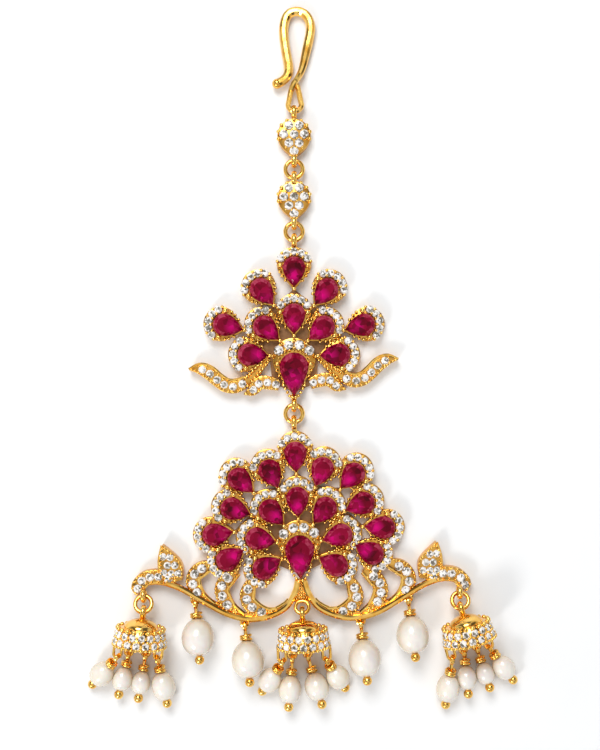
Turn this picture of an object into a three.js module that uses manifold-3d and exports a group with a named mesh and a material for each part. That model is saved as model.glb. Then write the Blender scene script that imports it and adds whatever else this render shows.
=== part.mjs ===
// A jhoomar: a gold forehead ornament with pear cut rubies, clear stones, three bells and sixteen pearls.
// It lies on its back, in millimetres: +X to its right, +Y towards the hair hook, +Z up from what it lies on.
import * as THREE from 'three';
import { mergeVertices } from 'three/addons/utils/BufferGeometryUtils.js';
import Module from 'manifold-3d';

const wasm = await Module();
wasm.setup();

// Wire and links: every wire size is a radius
const linkAir = 0.3;
const ringWire = 0.375;
const bailWire = 0.3;
const ringPlay = 0.45;
const bellRingPlay = 0.3;
const eyeWire = 0.2;
const eyeAir = 0.25;
const footRadius = 0.45;
const footSink = 0.6;

// Stones
const rubyWidth = 4;
const rubyLength = 5;
const bigRubyWidth = 5;
const bigRubyLength = 7;
const rubyCrown = 0.75;
const rubyPavilion = 1.2;
const tableShare = 0.6;
const girdleLift = 0.1;
const seatGap = 0.2;
const flankShare = 0.66;
const clearStone = 0.75;
const clearStoneTable = 0.45;
const clearStoneRise = 0.35;
const clearStoneSink = 0.3;

// Settings: walls round a pear stone, at its sides, its round end and its tip
const plateHeight = 2.2;
const backHeight = 0.6;
const wallSide = 1.07;
const wallCrest = 1.8;
const wallTip = 0.9;
const bigWallSide = 1.3;
const bigWallCrest = 2.6;
const backReach = 3;

// The two fans: the reach is from the big ruby to the ruby at the top
const upperReach = 17.6;
const lowerReach = 17.3;
const upperTopBail = 1.05;
const upperFootBail = 1.2;
const lowerTopBail = 1.45;
const lowerSwing = 2.5;
const wingTurn = 2.8;

// The scrolled gallery under the lower fan, which is bent a little clockwise against its rubies
const gallerySpan = 28.4;
const galleryDrop = 10.85;
const galleryTurn = -1.8;
const railWire = 0.5;
const railHeight = 1.3;
const ribbonHalf = 1.15;
const ribbonHeight = 2;
const endBailHeight = 2.2;
const centreRingLoop = 1.15;
const centreRingWire = 0.33;
const centreRingShare = 0.72;
const centreRingLift = 0.1;
const centrePlateShare = 0.24;

// Pave drops of the chain
const dropWidth = 5.9;
const dropLength = 6.8;
const dropHeight = 2;
const dropBail = 0.5;
const dropTopBail = 1.05;

// Hair hook
const hookWire = 0.575;
const hookHalfWidth = 2.5;
const hookRise = 11.2;
const hookTip = 0.7;
const eyeLoopWire = 0.41;
const eyeLoopRadius = 1.24;
const eyeLoopStraight = 1.88;
const collarRadius = 0.95;
const collarLength = 1.1;
const collarLift = 1.34;

// Bells
const bellRadius = 4.75;
const bellCrown = 4.15;
const bellBand = 3.5;
const bellWall = 0.95;
const domeRadius = 3;
const domeRise = 1.15;
const bellBailDrop = 1.4;
const bellBailSink = 0.45;
const rimEyeDrop = 0.55;
const rimEyeInset = 0.85;
const rimEyeStraight = 1.4;

// Pearls
const pearlCollarRadius = 0.85;
const pearlCollarLength = 1.1;
const pearlBall = 0.82;
const ballSink = 0.2;
const railPearlWidth = 5.6;
const railPearlLength = 6.35;
const railPearlPin = 0.55;
const railPearlSwing = 3.5;
const bellPearlWidth = 4;
const bellPearlLength = 4.9;

// Centre line of the hair hook, as shares of its half width and its rise above the collar
const hookRows = [
  { across: 0.2, up: 0 },
  { across: 0.58, up: 0.37 },
  { across: 1, up: 0.7 },
  { across: 0.98, up: 0.87 },
  { across: 0.12, up: 1 },
  { across: -0.72, up: 0.89 },
  { across: -0.88, up: 0.72 },
  { across: -0.58, up: 0.29 },
  { across: -0.46, up: 0.11 },
  { across: -0.64, up: -0.04 },
  { across: -1.4, up: -0.15 },
];

// Clear stones of a pave drop, as shares of its half width and half length
const dropStones = [
  { across: -0.3, up: 0.64 },
  { across: 0.3, up: 0.64 },
  { across: -0.6, up: 0.18 },
  { across: 0, up: 0.18 },
  { across: 0.6, up: 0.18 },
  { across: -0.3, up: -0.27 },
  { across: 0.3, up: -0.27 },
  { across: 0, up: -0.68 },
];

// Rubies of each fan, as shares of its reach, with the lean of the pear in degrees. A row with mirror is made
// on both sides, and the back plate runs from tip to tip of the rows with edge.
const upperRubies = [
  { name: 'top', across: 0, up: 1, lean: 0, edge: true },
  { name: 'high', across: 0.307, up: 0.795, lean: 39, mirror: true, edge: true },
  { name: 'outer', across: 0.656, up: 0.463, lean: 75, mirror: true, edge: true },
  { name: 'low', across: 0.412, up: 0.176, lean: 87, mirror: true, edge: true },
  { name: 'middle', across: 0.27, up: 0.432, lean: 49, mirror: true },
  { name: 'centre', across: 0, up: 0.54, lean: 0 },
];
const lowerRubies = [
  { name: 'top', across: 0, up: 1, lean: 0, edge: true },
  { name: 'high', across: 0.254, up: 0.838, lean: 24, mirror: true, edge: true },
  { name: 'shoulder', across: 0.555, up: 0.775, lean: 44, mirror: true, edge: true },
  { name: 'side', across: 0.63, up: 0.491, lean: 69, mirror: true, edge: true },
  { name: 'outer', across: 0.82, up: 0.251, lean: 95, mirror: true, edge: true },
  { name: 'low', across: 0.7, up: 0.006, lean: 119, mirror: true, edge: true },
  { name: 'foot', across: 0.338, up: -0.098, lean: 116, mirror: true, edge: true },
  { name: 'centre', across: 0, up: 0.549, lean: 0 },
  { name: 'inner', across: 0.26, up: 0.445, lean: 40, mirror: true },
  { name: 'waist', across: 0.393, up: 0.185, lean: 76, mirror: true },
];

// Ribbons: centre lines as shares of the reach, or of the gallery's half span and drop, with the share of the
// half width at each point
const wingRows = [
  { across: 1.03, up: 0.08, half: 0.05 },
  { across: 0.923, up: 0.08, half: 0.8 },
  { across: 0.835, up: 0.037, half: 1 },
  { across: 0.758, up: -0.034, half: 1 },
  { across: 0.668, up: -0.097, half: 1 },
  { across: 0.568, up: -0.105, half: 1 },
  { across: 0.455, up: -0.05, half: 0.75 },
  { across: 0.34, up: 0.06, half: 0.65 },
  { across: 0.25, up: 0.16, half: 0.6 },
];
const wingLeafRows = [
  { across: 0.505, up: -0.19, half: 0.05 },
  { across: 0.418, up: -0.156, half: 0.8 },
  { across: 0.34, up: -0.086, half: 1 },
  { across: 0.241, up: -0.09, half: 1 },
  { across: 0.15, up: -0.12, half: 0.8 },
];
const railRows = [
  { across: 0.018, down: 0.4 },
  { across: 0.042, down: 0.6 },
  { across: 0.1, down: 0.825 },
  { across: 0.21, down: 0.965 },
  { across: 0.335, down: 1 },
  { across: 0.465, down: 0.905 },
  { across: 0.595, down: 0.715 },
  { across: 0.73, down: 0.505 },
  { across: 0.82, down: 0.41 },
];
const archRows = [
  { across: 0.76, down: 0.41, half: 0.7 },
  { across: 0.835, down: 0.325, half: 1 },
  { across: 0.894, down: 0.31, half: 1 },
  { across: 0.955, down: 0.345, half: 1 },
  { across: 0.995, down: 0.47, half: 1 },
  { across: 0.98, down: 0.58, half: 0.6 },
];
const leafRows = [
  { across: 0.765, down: 0.4, half: 1.1 },
  { across: 0.785, down: 0.2, half: 1.75 },
  { across: 0.81, down: 0.02, half: 1.3 },
  { across: 0.835, down: -0.19, half: 0.05 },
];
const commaRows = {
  outer: [
    { across: 0.53, down: 0.13, half: 0.5 },
    { across: 0.6, down: 0.19, half: 1 },
    { across: 0.65, down: 0.29, half: 1 },
    { across: 0.657, down: 0.455, half: 1 },
    { across: 0.615, down: 0.64, half: 0.7 },
    { across: 0.54, down: 0.78, half: 0.3 },
  ],
  middle: [
    { across: 0.385, down: 0.24, half: 0.5 },
    { across: 0.443, down: 0.345, half: 1 },
    { across: 0.483, down: 0.47, half: 1 },
    { across: 0.483, down: 0.63, half: 1 },
    { across: 0.44, down: 0.82, half: 0.8 },
    { across: 0.36, down: 0.96, half: 0.35 },
  ],
  inner: [
    { across: 0.29, down: 0.34, half: 0.4 },
    { across: 0.328, down: 0.55, half: 1 },
    { across: 0.333, down: 0.71, half: 1 },
    { across: 0.29, down: 0.845, half: 1 },
    { across: 0.22, down: 0.915, half: 0.7 },
    { across: 0.15, down: 0.885, half: 0.3 },
  ],
};
const railPearlsAcross = [0.354, 0.65];

// Bells, with the lean of the mouth in degrees, anticlockwise positive. The pearls of each follow from left to
// right: the place of the eye round the rim from its lowest point and the swing of the pearl, in degrees, the
// shares of a bell pearl's width and length, and what the pin is longer by.
const bells = [
  {
    name: 'left', side: -1, lean: -8, pearls: [
      { around: -73, swing: -36, wide: 1, long: 0.93, pin: 0.3 },
      { around: -32, swing: -8, wide: 0.86, long: 0.85, pin: 0.1 },
      { around: 12, swing: -3, wide: 0.82, long: 0.81, pin: 0.6 },
      { around: 54, swing: 17, wide: 1.03, long: 1.01, pin: 0.3 },
    ],
  },
  {
    name: 'centre', side: 0, lean: 0, pearls: [
      { around: -76, swing: -34, wide: 0.97, long: 0.92, pin: 0.25 },
      { around: -32, swing: -7, wide: 0.99, long: 0.97, pin: 0.9 },
      { around: 9, swing: 15, wide: 1.04, long: 1, pin: 0.8 },
      { around: 80, swing: 28, wide: 1, long: 0.93, pin: 0 },
    ],
  },
  {
    name: 'right', side: 1, lean: 12, pearls: [
      { around: -68, swing: -21, wide: 1.01, long: 1.01, pin: 1 },
      { around: -18, swing: -10, wide: 0.86, long: 0.85, pin: 0.2 },
      { around: 17, swing: 3, wide: 0.81, long: 0.77, pin: 0.4 },
      { around: 54, swing: 22, wide: 0.94, long: 0.89, pin: 0.1 },
    ],
  },
];

// Sides of the round pieces: of a section of wire, round a link, bail or eye, of a pearl, a bell, a foot and
// the round end of a stone
const wireSides = 5;
const linkSides = 10;
const pearlSides = 10;
const bellSides = 12;
const footSides = 6;
const roundSides = 6;

// Sizes worked out from the ones above
const bailLoop = ringWire + bailWire + linkAir;
const hookBailLoop = eyeLoopWire + bailWire + linkAir;
const ringLoop = bailLoop + bailWire + ringPlay / 2;
const bellRingLoop = bailLoop + bailWire + bellRingPlay / 2;
const chainHeight = hookBailLoop + bailWire;
const eyeLoop = 2 * eyeWire + eyeAir;
const bellBailHeight = bellRadius - bellBailDrop;
const bore = bellRadius - bellWall;
const rim = bellBailSink - bailLoop - bailWire - domeRise - bellBand;

const gold = { color: 0xe0a63c, roughness: 0.22, metalness: 1 };
const ruby = { color: 0x9c0f3c, roughness: 0.05, metalness: 0 };
const pearl = { color: 0xf2e9e4, roughness: 0.25, metalness: 0 };

const jhoomar = new THREE.Group();
const radians = THREE.MathUtils.degToRad;

// Closed solid for manifold-3d, from a three.js geometry
function solidOf(geometry) {
  const plain = geometry.clone();
  plain.deleteAttribute('normal');
  plain.deleteAttribute('uv');
  const merged = mergeVertices(plain, 1e-4);
  const corners = [...merged.index.array];
  const triangles = [];
  for (let i = 0; i < corners.length; i += 3) {
    const [a, b, c] = corners.slice(i, i + 3);
    if (a !== b && b !== c && c !== a) triangles.push(a, b, c);
  }
  const vertProperties = merged.attributes.position.array;
  const mesh = new wasm.Mesh({ numProp: 3, vertProperties, triVerts: new Uint32Array(triangles) });
  return new wasm.Manifold(mesh);
}

function geometryOf(solid) {
  const mesh = solid.getMesh();
  const geometry = new THREE.BufferGeometry();
  geometry.setAttribute('position', new THREE.BufferAttribute(mesh.vertProperties, 3));
  geometry.setIndex(new THREE.BufferAttribute(mesh.triVerts, 1));
  geometry.computeVertexNormals();
  return geometry;
}

function join(geometries) {
  return geometries.map(solidOf).reduce((whole, next) => whole.add(next));
}

function addMesh(parent, name, geometry, material) {
  const mesh = new THREE.Mesh(geometry, new THREE.MeshStandardMaterial(material));
  mesh.name = name;
  parent.add(mesh);
  return mesh;
}

// Ring of round wire face on to +Z, or edge on in the YZ plane
function faceRing(loop, wire, x, y, z) {
  return new THREE.TorusGeometry(loop, wire, wireSides, linkSides).translate(x, y, z);
}

function edgeRing(loop, wire, x, y, z) {
  return new THREE.TorusGeometry(loop, wire, wireSides, linkSides).rotateY(Math.PI / 2).translate(x, y, z);
}

// Closed wire loop with straight sides, face on, its lowest point of centre line at the origin
function longLoop(radius, wire, straight) {
  const loop = new THREE.TorusGeometry(radius, wire, wireSides, linkSides);
  loop.rotateZ(Math.PI / linkSides);
  const position = loop.attributes.position;
  for (let i = 0; i < position.count; i += 1) {
    if (position.getY(i) > 0) position.setY(i, position.getY(i) + straight);
  }
  return loop.translate(0, radius * Math.cos(Math.PI / linkSides), 0);
}

// Edge on bail beside a plate that ends at y: way is 1 above it, -1 below it. A bail that only just meets its
// plate gets a foot that runs into the plate.
function bailWithFoot(loop, x, y, z, reach, way) {
  const centre = y + way * reach;
  if (reach < loop) return [edgeRing(loop, bailWire, x, centre, z)];
  const near = centre - way * loop;
  const start = y - way * footSink;
  const length = Math.abs(near - start);
  const foot = new THREE.CylinderGeometry(footRadius, footRadius, length, footSides);
  foot.translate(x, (near + start) / 2, z);
  return [edgeRing(loop, bailWire, x, centre, z), foot];
}

function wireAlong(curve, radius, steps, sides) {
  const section = new THREE.Shape();
  for (let i = 0; i < sides; i += 1) {
    const angle = (i / sides) * 2 * Math.PI;
    const point = [radius * Math.cos(angle), radius * Math.sin(angle)];
    if (i === 0) section.moveTo(...point);
    else section.lineTo(...point);
  }
  return new THREE.ExtrudeGeometry(section, { steps, extrudePath: curve, bevelEnabled: false });
}

// Pear outline: a round end of this radius about (0, centre), with full flanks down to the tip
function pearShape(radius, centre, tip) {
  const dip = radians(18);
  const right = [new THREE.Vector2(0, tip), new THREE.Vector2(flankShare * radius, (tip + centre) / 2)];
  const round = [];
  for (let i = 0; i <= roundSides; i += 1) {
    const angle = -dip + (i / roundSides) * (Math.PI + 2 * dip);
    round.push(new THREE.Vector2(radius * Math.cos(angle), centre + radius * Math.sin(angle)));
  }
  return new THREE.Shape([...right, ...round, new THREE.Vector2(-flankShare * radius, (tip + centre) / 2)]);
}

function stoneShape(width, length, grow) {
  return pearShape(width / 2 + grow, (length - width) / 2, -length / 2 - 1.5 * grow);
}

function settingShape(width, length, side, crest) {
  const radius = width / 2 + side;
  return pearShape(radius, length / 2 + crest - radius, -length / 2 - wallTip);
}

function extrude(shape, bottom, top) {
  const plate = new THREE.ExtrudeGeometry(shape, { depth: top - bottom, bevelEnabled: false });
  return plate.translate(0, 0, bottom);
}

// Pear cut stone with its girdle at z = 0: a table, a ring of crown facets and a ring of pavilion facets
function pearStone(width, length) {
  const outline = stoneShape(width, length, 0).getPoints();
  const middle = (length - width) / 4;
  const vertices = [];
  outline.forEach((p) => vertices.push(p.x, p.y, 0));
  outline.forEach((p) => vertices.push(p.x * tableShare, middle + (p.y - middle) * tableShare, rubyCrown));
  vertices.push(0, middle, -rubyPavilion);
  const count = outline.length;
  const faces = [];
  for (let i = 0; i < count; i += 1) {
    const next = (i + 1) % count;
    faces.push(i, next, count + next, i, count + next, count + i);
    faces.push(next, i, 2 * count);
    if (i > 0 && i < count - 1) faces.push(count, count + i, count + next);
  }
  const geometry = new THREE.BufferGeometry();
  geometry.setAttribute('position', new THREE.Float32BufferAttribute(vertices, 3));
  geometry.setIndex(faces);
  geometry.computeVertexNormals();
  return geometry;
}

// Round clear stone in a plate whose top is at z: a table and eight facets
function roundStone(x, y, z) {
  const height = clearStoneRise + clearStoneSink;
  const stone = new THREE.CylinderGeometry(clearStoneTable, clearStone, height, 8);
  return stone.rotateX(Math.PI / 2).translate(x, y, z + clearStoneRise - height / 2);
}

// Ribbon of changing width along a smooth line of points, each with its half width
function ribbon(points, bottom, top, samples) {
  const line = new THREE.CatmullRomCurve3(points.map((p) => new THREE.Vector3(p.x, p.y, 0)));
  const left = [];
  const right = [];
  for (let i = 0; i <= samples; i += 1) {
    const share = i / samples;
    const place = line.getPoint(share);
    const along = line.getTangent(share);
    const row = share * (points.length - 1);
    const before = Math.min(Math.floor(row), points.length - 2);
    const half = THREE.MathUtils.lerp(points[before].half, points[before + 1].half, row - before);
    left.push(new THREE.Vector2(place.x - along.y * half, place.y + along.x * half));
    right.unshift(new THREE.Vector2(place.x + along.y * half, place.y - along.x * half));
  }
  return extrude(new THREE.Shape([...left, ...right]), bottom, top);
}

// The same row on both sides of the centre line, or once where it isn't mirrored
function sidesOf(row) {
  if (!row.mirror) return [{ name: row.name, side: 1 }];
  return [{ name: `${row.name}_left`, side: -1 }, { name: `${row.name}_right`, side: 1 }];
}

function placed(geometry, x, y, turn) {
  return geometry.rotateZ(turn).translate(x, y, 0);
}

// Places of the rubies of a fan: the big one at the origin, then each row of the table
function rubyPlaces(rows, reach) {
  const big = { name: 'big', x: 0, y: 0, turn: 0, width: bigRubyWidth, length: bigRubyLength, big: true };
  const places = [big];
  for (const row of rows) {
    for (const { name, side } of sidesOf(row)) {
      const turn = -side * radians(row.lean);
      const x = side * row.across * reach;
      places.push({ name, x, y: row.up * reach, turn, width: rubyWidth, length: rubyLength });
    }
  }
  return places;
}

// Thin plate behind the stones, from tip to tip of the outer rubies and past the sides of the big one
function backPlate(rows, reach) {
  const right = [];
  for (const row of rows.filter((r) => r.edge)) {
    const turn = -radians(row.lean);
    const x = row.across * reach + backReach * Math.sin(turn);
    const y = row.up * reach - backReach * Math.cos(turn);
    right.push(new THREE.Vector2(x, y));
  }
  right.push(new THREE.Vector2(bigRubyWidth / 2 + bigWallSide, -bigRubyLength / 4));
  right.push(new THREE.Vector2(0, -bigRubyLength / 2));
  const left = right.slice(1, -1).map((p) => new THREE.Vector2(-p.x, p.y)).reverse();
  return extrude(new THREE.Shape([...right, ...left]), 0, backHeight);
}

function settings(places) {
  return places.map((p) => {
    const side = p.big ? bigWallSide : wallSide;
    const crest = p.big ? bigWallCrest : wallCrest;
    return placed(extrude(settingShape(p.width, p.length, side, crest), 0, plateHeight), p.x, p.y, p.turn);
  });
}

function pockets(places) {
  return places.map((p) => {
    const hole = extrude(stoneShape(p.width, p.length, seatGap), backHeight, plateHeight + rubyCrown);
    return placed(hole, p.x, p.y, p.turn);
  });
}

function addRubies(parent, prefix, places) {
  for (const p of places) {
    const stone = addMesh(parent, `${prefix}_ruby_${p.name}`, pearStone(p.width, p.length), ruby);
    stone.position.set(p.x, p.y, plateHeight + girdleLift);
    stone.rotation.z = p.turn;
  }
}

// Frame of a fan: what is joined, less the pockets of its rubies
function addFan(parent, name, places, pieces) {
  const frame = join([...settings(places), ...pieces]).subtract(join(pockets(places)));
  addMesh(parent, name, geometryOf(frame), gold);
}

function topOf(reach) {
  return reach + rubyLength / 2 + wallCrest;
}

const bigTip = -bigRubyLength / 2 - wallTip;

// Upper fan with its wings and leaves
function upperFanPieces() {
  const pieces = [backPlate(upperRubies, upperReach)];
  for (const side of [-1, 1]) {
    for (const rows of [wingRows, wingLeafRows]) {
      const points = rows.map((r) => ({
        x: side * r.across * upperReach, y: r.up * upperReach, half: r.half * ribbonHalf,
      }));
      pieces.push(ribbon(points, 0, ribbonHeight, points.length + 1).rotateZ(radians(wingTurn)));
    }
  }
  pieces.push(...bailWithFoot(bailLoop, 0, topOf(upperReach), chainHeight, upperTopBail, 1));
  pieces.push(...bailWithFoot(bailLoop, 0, bigTip, chainHeight, upperFootBail, -1));
  return pieces;
}

function addUpperFan(parent) {
  const places = rubyPlaces(upperRubies, upperReach);
  addFan(parent, 'upper_fan', places, upperFanPieces());
  addRubies(parent, 'upper', places);
}

// Gallery of the lower fan: shares of its half span and its drop become places
function galleryPoint(row, side) {
  const x = side * row.across * gallerySpan;
  const y = x * Math.sin(radians(galleryTurn)) - row.down * galleryDrop;
  return { x, y, half: (row.half ?? 0) * ribbonHalf };
}

function railCurve(side) {
  const points = railRows.map((row) => galleryPoint(row, side));
  return new THREE.CatmullRomCurve3(points.map((p) => new THREE.Vector3(p.x, p.y, railHeight)));
}

// Height of the rail's centre line at x
function railAt(x) {
  const line = railCurve(Math.sign(x)).getPoints(100);
  return line.reduce((best, p) => (Math.abs(p.x - x) < Math.abs(best.x - x) ? p : best)).y;
}

function railEyes() {
  const places = [];
  for (const side of [-1, 1]) {
    for (const [i, share] of railPearlsAcross.entries()) {
      const x = side * share * gallerySpan;
      const y = railAt(x) - railWire - eyeLoop + 2 * eyeWire;
      places.push({ name: `rail_${side < 0 ? 'left' : 'right'}_${i + 1}`, x, y, z: railHeight });
    }
  }
  return places;
}

// Leaning ring from the point that holds it to the bail that hangs on it: both lie on its centre line
function leaningRing(loop, wire, x, y, z) {
  const lean = Math.asin((bellBailHeight - z) / (2 * loop));
  const ring = new THREE.TorusGeometry(loop, wire, wireSides, linkSides);
  ring.translate(0, -loop, 0).rotateX(-lean).translate(x, y, z);
  return { ring, foot: { x, y: y - 2 * loop * Math.cos(lean), z: bellBailHeight } };
}

// Bail at the outer end of an arch, for the ring of a side bell
function endBail(side) {
  const end = galleryPoint(archRows[archRows.length - 1], side);
  return { x: end.x - (side * ribbonHalf) / 2, y: end.y - linkAir, z: endBailHeight };
}

const centreRingTop = { x: 0, y: -centreRingShare * galleryDrop, z: ribbonHeight + centreRingLift };

function centrePlate() {
  const foot = railCurve(1).getPoint(centrePlateShare);
  const shape = new THREE.Shape([
    new THREE.Vector2(0, bigTip + wallTip / 2),
    new THREE.Vector2(-railWire, bigTip),
    new THREE.Vector2(-foot.x, foot.y),
    new THREE.Vector2(-foot.x / 2, centreRingTop.y - centreRingWire),
    new THREE.Vector2(foot.x / 2, centreRingTop.y - centreRingWire),
    new THREE.Vector2(foot.x, foot.y),
    new THREE.Vector2(railWire, bigTip),
  ]);
  return extrude(shape, 0, ribbonHeight);
}

function lowerFanPieces() {
  const pieces = [backPlate(lowerRubies, lowerReach), centrePlate()];
  for (const side of [-1, 1]) {
    pieces.push(wireAlong(railCurve(side), railWire, 14, 6));
    for (const rows of [archRows, leafRows, ...Object.values(commaRows)]) {
      const points = rows.map((row) => galleryPoint(row, side));
      pieces.push(ribbon(points, 0, ribbonHeight, points.length + 1));
    }
    const end = endBail(side);
    pieces.push(edgeRing(bailLoop, bailWire, end.x, end.y, end.z));
  }
  for (const eye of railEyes()) pieces.push(faceRing(eyeLoop, eyeWire, eye.x, eye.y, eye.z));
  const { x, y, z } = centreRingTop;
  pieces.push(leaningRing(centreRingLoop, centreRingWire, x, y, z).ring);
  pieces.push(...bailWithFoot(bailLoop, 0, topOf(lowerReach), chainHeight, lowerTopBail, 1));
  return pieces;
}

// Bell with its mouth towards -Y, hung at the origin by its bail
function bellGeometry(eyes) {
  const profile = [
    [0, bellBand + domeRise - bellWall],
    [domeRadius - bellWall, bellBand - bellWall],
    [bellCrown - bellWall, bellBand - bellWall],
    [bore, 0],
    [bellRadius, 0],
    [bellCrown, bellBand],
    [domeRadius, bellBand],
    [domeRadius * Math.SQRT1_2, bellBand + domeRise * Math.SQRT1_2],
    [0, bellBand + domeRise],
  ];
  const points = profile.map(([r, y]) => new THREE.Vector2(r, y));
  const shell = new THREE.LatheGeometry(points, bellSides).translate(0, rim, bellBailDrop);
  const rings = eyes.map((e) => longLoop(eyeLoop, eyeWire, rimEyeStraight).translate(e.x, e.y, e.z));
  return geometryOf(join([shell, edgeRing(bailLoop, bailWire, 0, 0, 0), ...rings]));
}

// Lowest points of the long eyes under the rim
function rimEyes(rows) {
  const radius = bellRadius - rimEyeInset;
  const y = rim - rimEyeDrop - rimEyeStraight - eyeLoop;
  return rows.map((row) => {
    const around = radians(row.around);
    return { x: radius * Math.sin(around), y, z: bellBailDrop - radius * Math.cos(around), row };
  });
}

// Profile of a pearl, as shares of its half width and half length
const pearlRows = [
  { out: 0.25, up: -0.97 },
  { out: 0.8, up: -0.62 },
  { out: 1, up: 0 },
  { out: 0.8, up: 0.62 },
];

// Pearl on its pin, hung at the origin by its own eye, towards -Y
function pearlGeometry(width, length, pin) {
  const collarTop = -eyeLoop - eyeWire - pin;
  const pearlTop = collarTop - pearlCollarLength;
  const centre = pearlTop - length / 2;
  const ball = centre - length / 2 + ballSink - pearlBall;
  const profile = [
    [0, ball - pearlBall],
    [pearlBall, ball],
    ...pearlRows.map((row) => [(row.out * width) / 2, centre + (row.up * length) / 2]),
    [pearlCollarRadius, pearlTop],
    [pearlCollarRadius, collarTop],
    [0, -eyeLoop],
  ];
  const points = profile.map(([r, y]) => new THREE.Vector2(r, y));
  return geometryOf(join([new THREE.LatheGeometry(points, pearlSides), edgeRing(eyeLoop, eyeWire, 0, 0, 0)]));
}

// Pearl hung from the lowest point of an eye until it or its ball lies on the floor: floor is the floor's height
// in the parent's frame
function addPearl(parent, name, eye, floor, { width, length, pin, swing }) {
  const drop = eyeLoop + eyeWire + pin + pearlCollarLength + length / 2;
  const ballDrop = drop + length / 2 - ballSink + pearlBall;
  const height = eye.z - floor;
  const tilt = Math.asin(Math.min((height - width / 2) / drop, (height - pearlBall) / ballDrop));
  const mesh = addMesh(parent, name, pearlGeometry(width, length, pin), pearl);
  mesh.position.set(eye.x, eye.y, eye.z);
  mesh.rotation.set(tilt, 0, radians(swing), 'ZXY');
}

function addBell(parent, bell, hold) {
  const group = new THREE.Group();
  group.position.set(hold.x, hold.y, hold.z);
  group.rotation.z = radians(bell.lean);
  parent.add(group);
  const eyes = rimEyes(bell.pearls);
  addMesh(group, `bell_${bell.name}`, bellGeometry(eyes), gold);
  for (const [i, eye] of eyes.entries()) {
    const { wide, long, pin, swing } = eye.row;
    const size = { width: wide * bellPearlWidth, length: long * bellPearlLength, pin, swing };
    addPearl(group, `pearl_${bell.name}_${i + 1}`, eye, -hold.z, size);
  }
}

function addBells(parent) {
  for (const bell of bells) {
    if (bell.side === 0) {
      const { x, y, z } = centreRingTop;
      addBell(parent, bell, leaningRing(centreRingLoop, centreRingWire, x, y, z).foot);
    } else {
      const end = endBail(bell.side);
      const { ring, foot } = leaningRing(bellRingLoop, ringWire, end.x, end.y, end.z);
      addMesh(parent, `bell_ring_${bell.name}`, ring, gold);
      addBell(parent, bell, foot);
    }
  }
}

function addLowerFan(parent) {
  const places = rubyPlaces(lowerRubies, lowerReach);
  addFan(parent, 'lower_fan', places, lowerFanPieces());
  addRubies(parent, 'lower', places);
  const size = { width: railPearlWidth, length: railPearlLength, pin: railPearlPin, swing: railPearlSwing };
  for (const eye of railEyes()) {
    const foot = { x: eye.x, y: eye.y - eyeLoop, z: eye.z };
    addPearl(parent, `pearl_${eye.name}`, foot, 0, size);
  }
  addBells(parent);
}

// Pave drop with its round end up: a pear plate, its clear stones and a bail at each end
function addDrop(parent, name, y, topLoop, topReach) {
  const half = dropWidth / 2;
  const shape = pearShape(half, dropLength / 2 - half, -dropLength / 2);
  const pieces = [extrude(shape, 0, dropHeight)];
  for (const stone of dropStones) {
    pieces.push(roundStone(stone.across * half, (stone.up * dropLength) / 2, dropHeight));
  }
  pieces.push(...bailWithFoot(topLoop, 0, dropLength / 2, chainHeight, topReach, 1));
  pieces.push(...bailWithFoot(bailLoop, 0, -dropLength / 2, chainHeight, dropBail, -1));
  addMesh(parent, name, geometryOf(join(pieces)), gold).position.y = y;
}

// Hair hook, hung at the origin by its long loop, leaning back until its far end lies on the floor
function addHook(parent, y) {
  const loopTop = 2 * eyeLoopRadius + eyeLoopStraight;
  const collarUp = loopTop + collarLift;
  const points = [new THREE.Vector3(0, loopTop, 0)];
  for (const row of hookRows) {
    points.push(new THREE.Vector3(row.across * hookHalfWidth, collarUp + row.up * hookRise, 0));
  }
  const last = points[points.length - 1];
  const collar = new THREE.CylinderGeometry(collarRadius, collarRadius, collarLength, linkSides);
  const pieces = [
    longLoop(eyeLoopRadius, eyeLoopWire, eyeLoopStraight),
    wireAlong(new THREE.CatmullRomCurve3(points), hookWire, 26, 6),
    collar.translate(points[1].x, collarUp, 0),
    new THREE.SphereGeometry(hookTip, 8, 5).translate(last.x, last.y, 0),
  ];
  const hook = addMesh(parent, 'hair_hook', geometryOf(join(pieces)), gold);
  hook.position.set(0, y, chainHeight);
  hook.rotation.x = -Math.asin((chainHeight - hookWire) / (collarUp + hookRise + hookWire));
}

// The chain is worked out upwards from the top bail of the lower fan, at y = 0
function addChain(parent) {
  let y = ringLoop;
  const ringUp = (number) => {
    addMesh(parent, `link_ring_${number}`, faceRing(ringLoop, ringWire, 0, y, chainHeight), gold);
    y += ringLoop;
  };
  ringUp(3);
  y += upperFootBail - bigTip;
  const upper = new THREE.Group();
  upper.position.y = y;
  parent.add(upper);
  addUpperFan(upper);
  y += topOf(upperReach) + upperTopBail + ringLoop;
  ringUp(2);
  y += dropBail + dropLength / 2;
  addDrop(parent, 'pave_drop_2', y, bailLoop, dropBail);
  y += dropLength / 2 + dropBail + ringLoop;
  ringUp(1);
  y += dropBail + dropLength / 2;
  addDrop(parent, 'pave_drop_1', y, hookBailLoop, dropTopBail);
  y += dropLength / 2 + dropTopBail;
  addHook(parent, y);
}

addChain(jhoomar);
const lower = new THREE.Group();
lower.rotation.z = radians(lowerSwing);
const hang = new THREE.Vector3(0, topOf(lowerReach) + lowerTopBail, 0).applyEuler(lower.rotation);
lower.position.set(-hang.x, -hang.y, 0);
jhoomar.add(lower);
addLowerFan(lower);

// The origin is at the middle of the foot of the whole, on what it lies on
jhoomar.updateMatrixWorld(true);
const box = new THREE.Box3().setFromObject(jhoomar, true);
const middle = box.getCenter(new THREE.Vector3());
jhoomar.position.set(-middle.x, -middle.y, -box.min.z);

export default jhoomar;
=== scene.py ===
# %% [markdown]
# # A jhoomar in Blender
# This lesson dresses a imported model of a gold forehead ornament: a hair hook, two pave drops, two fans of
# pear cut rubies, a scrolled gallery, three bells and sixteen pearls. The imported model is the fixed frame.
# Each piece that is made here takes the place of one of its solids, with the fine work that a goldsmith
# would add.

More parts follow.
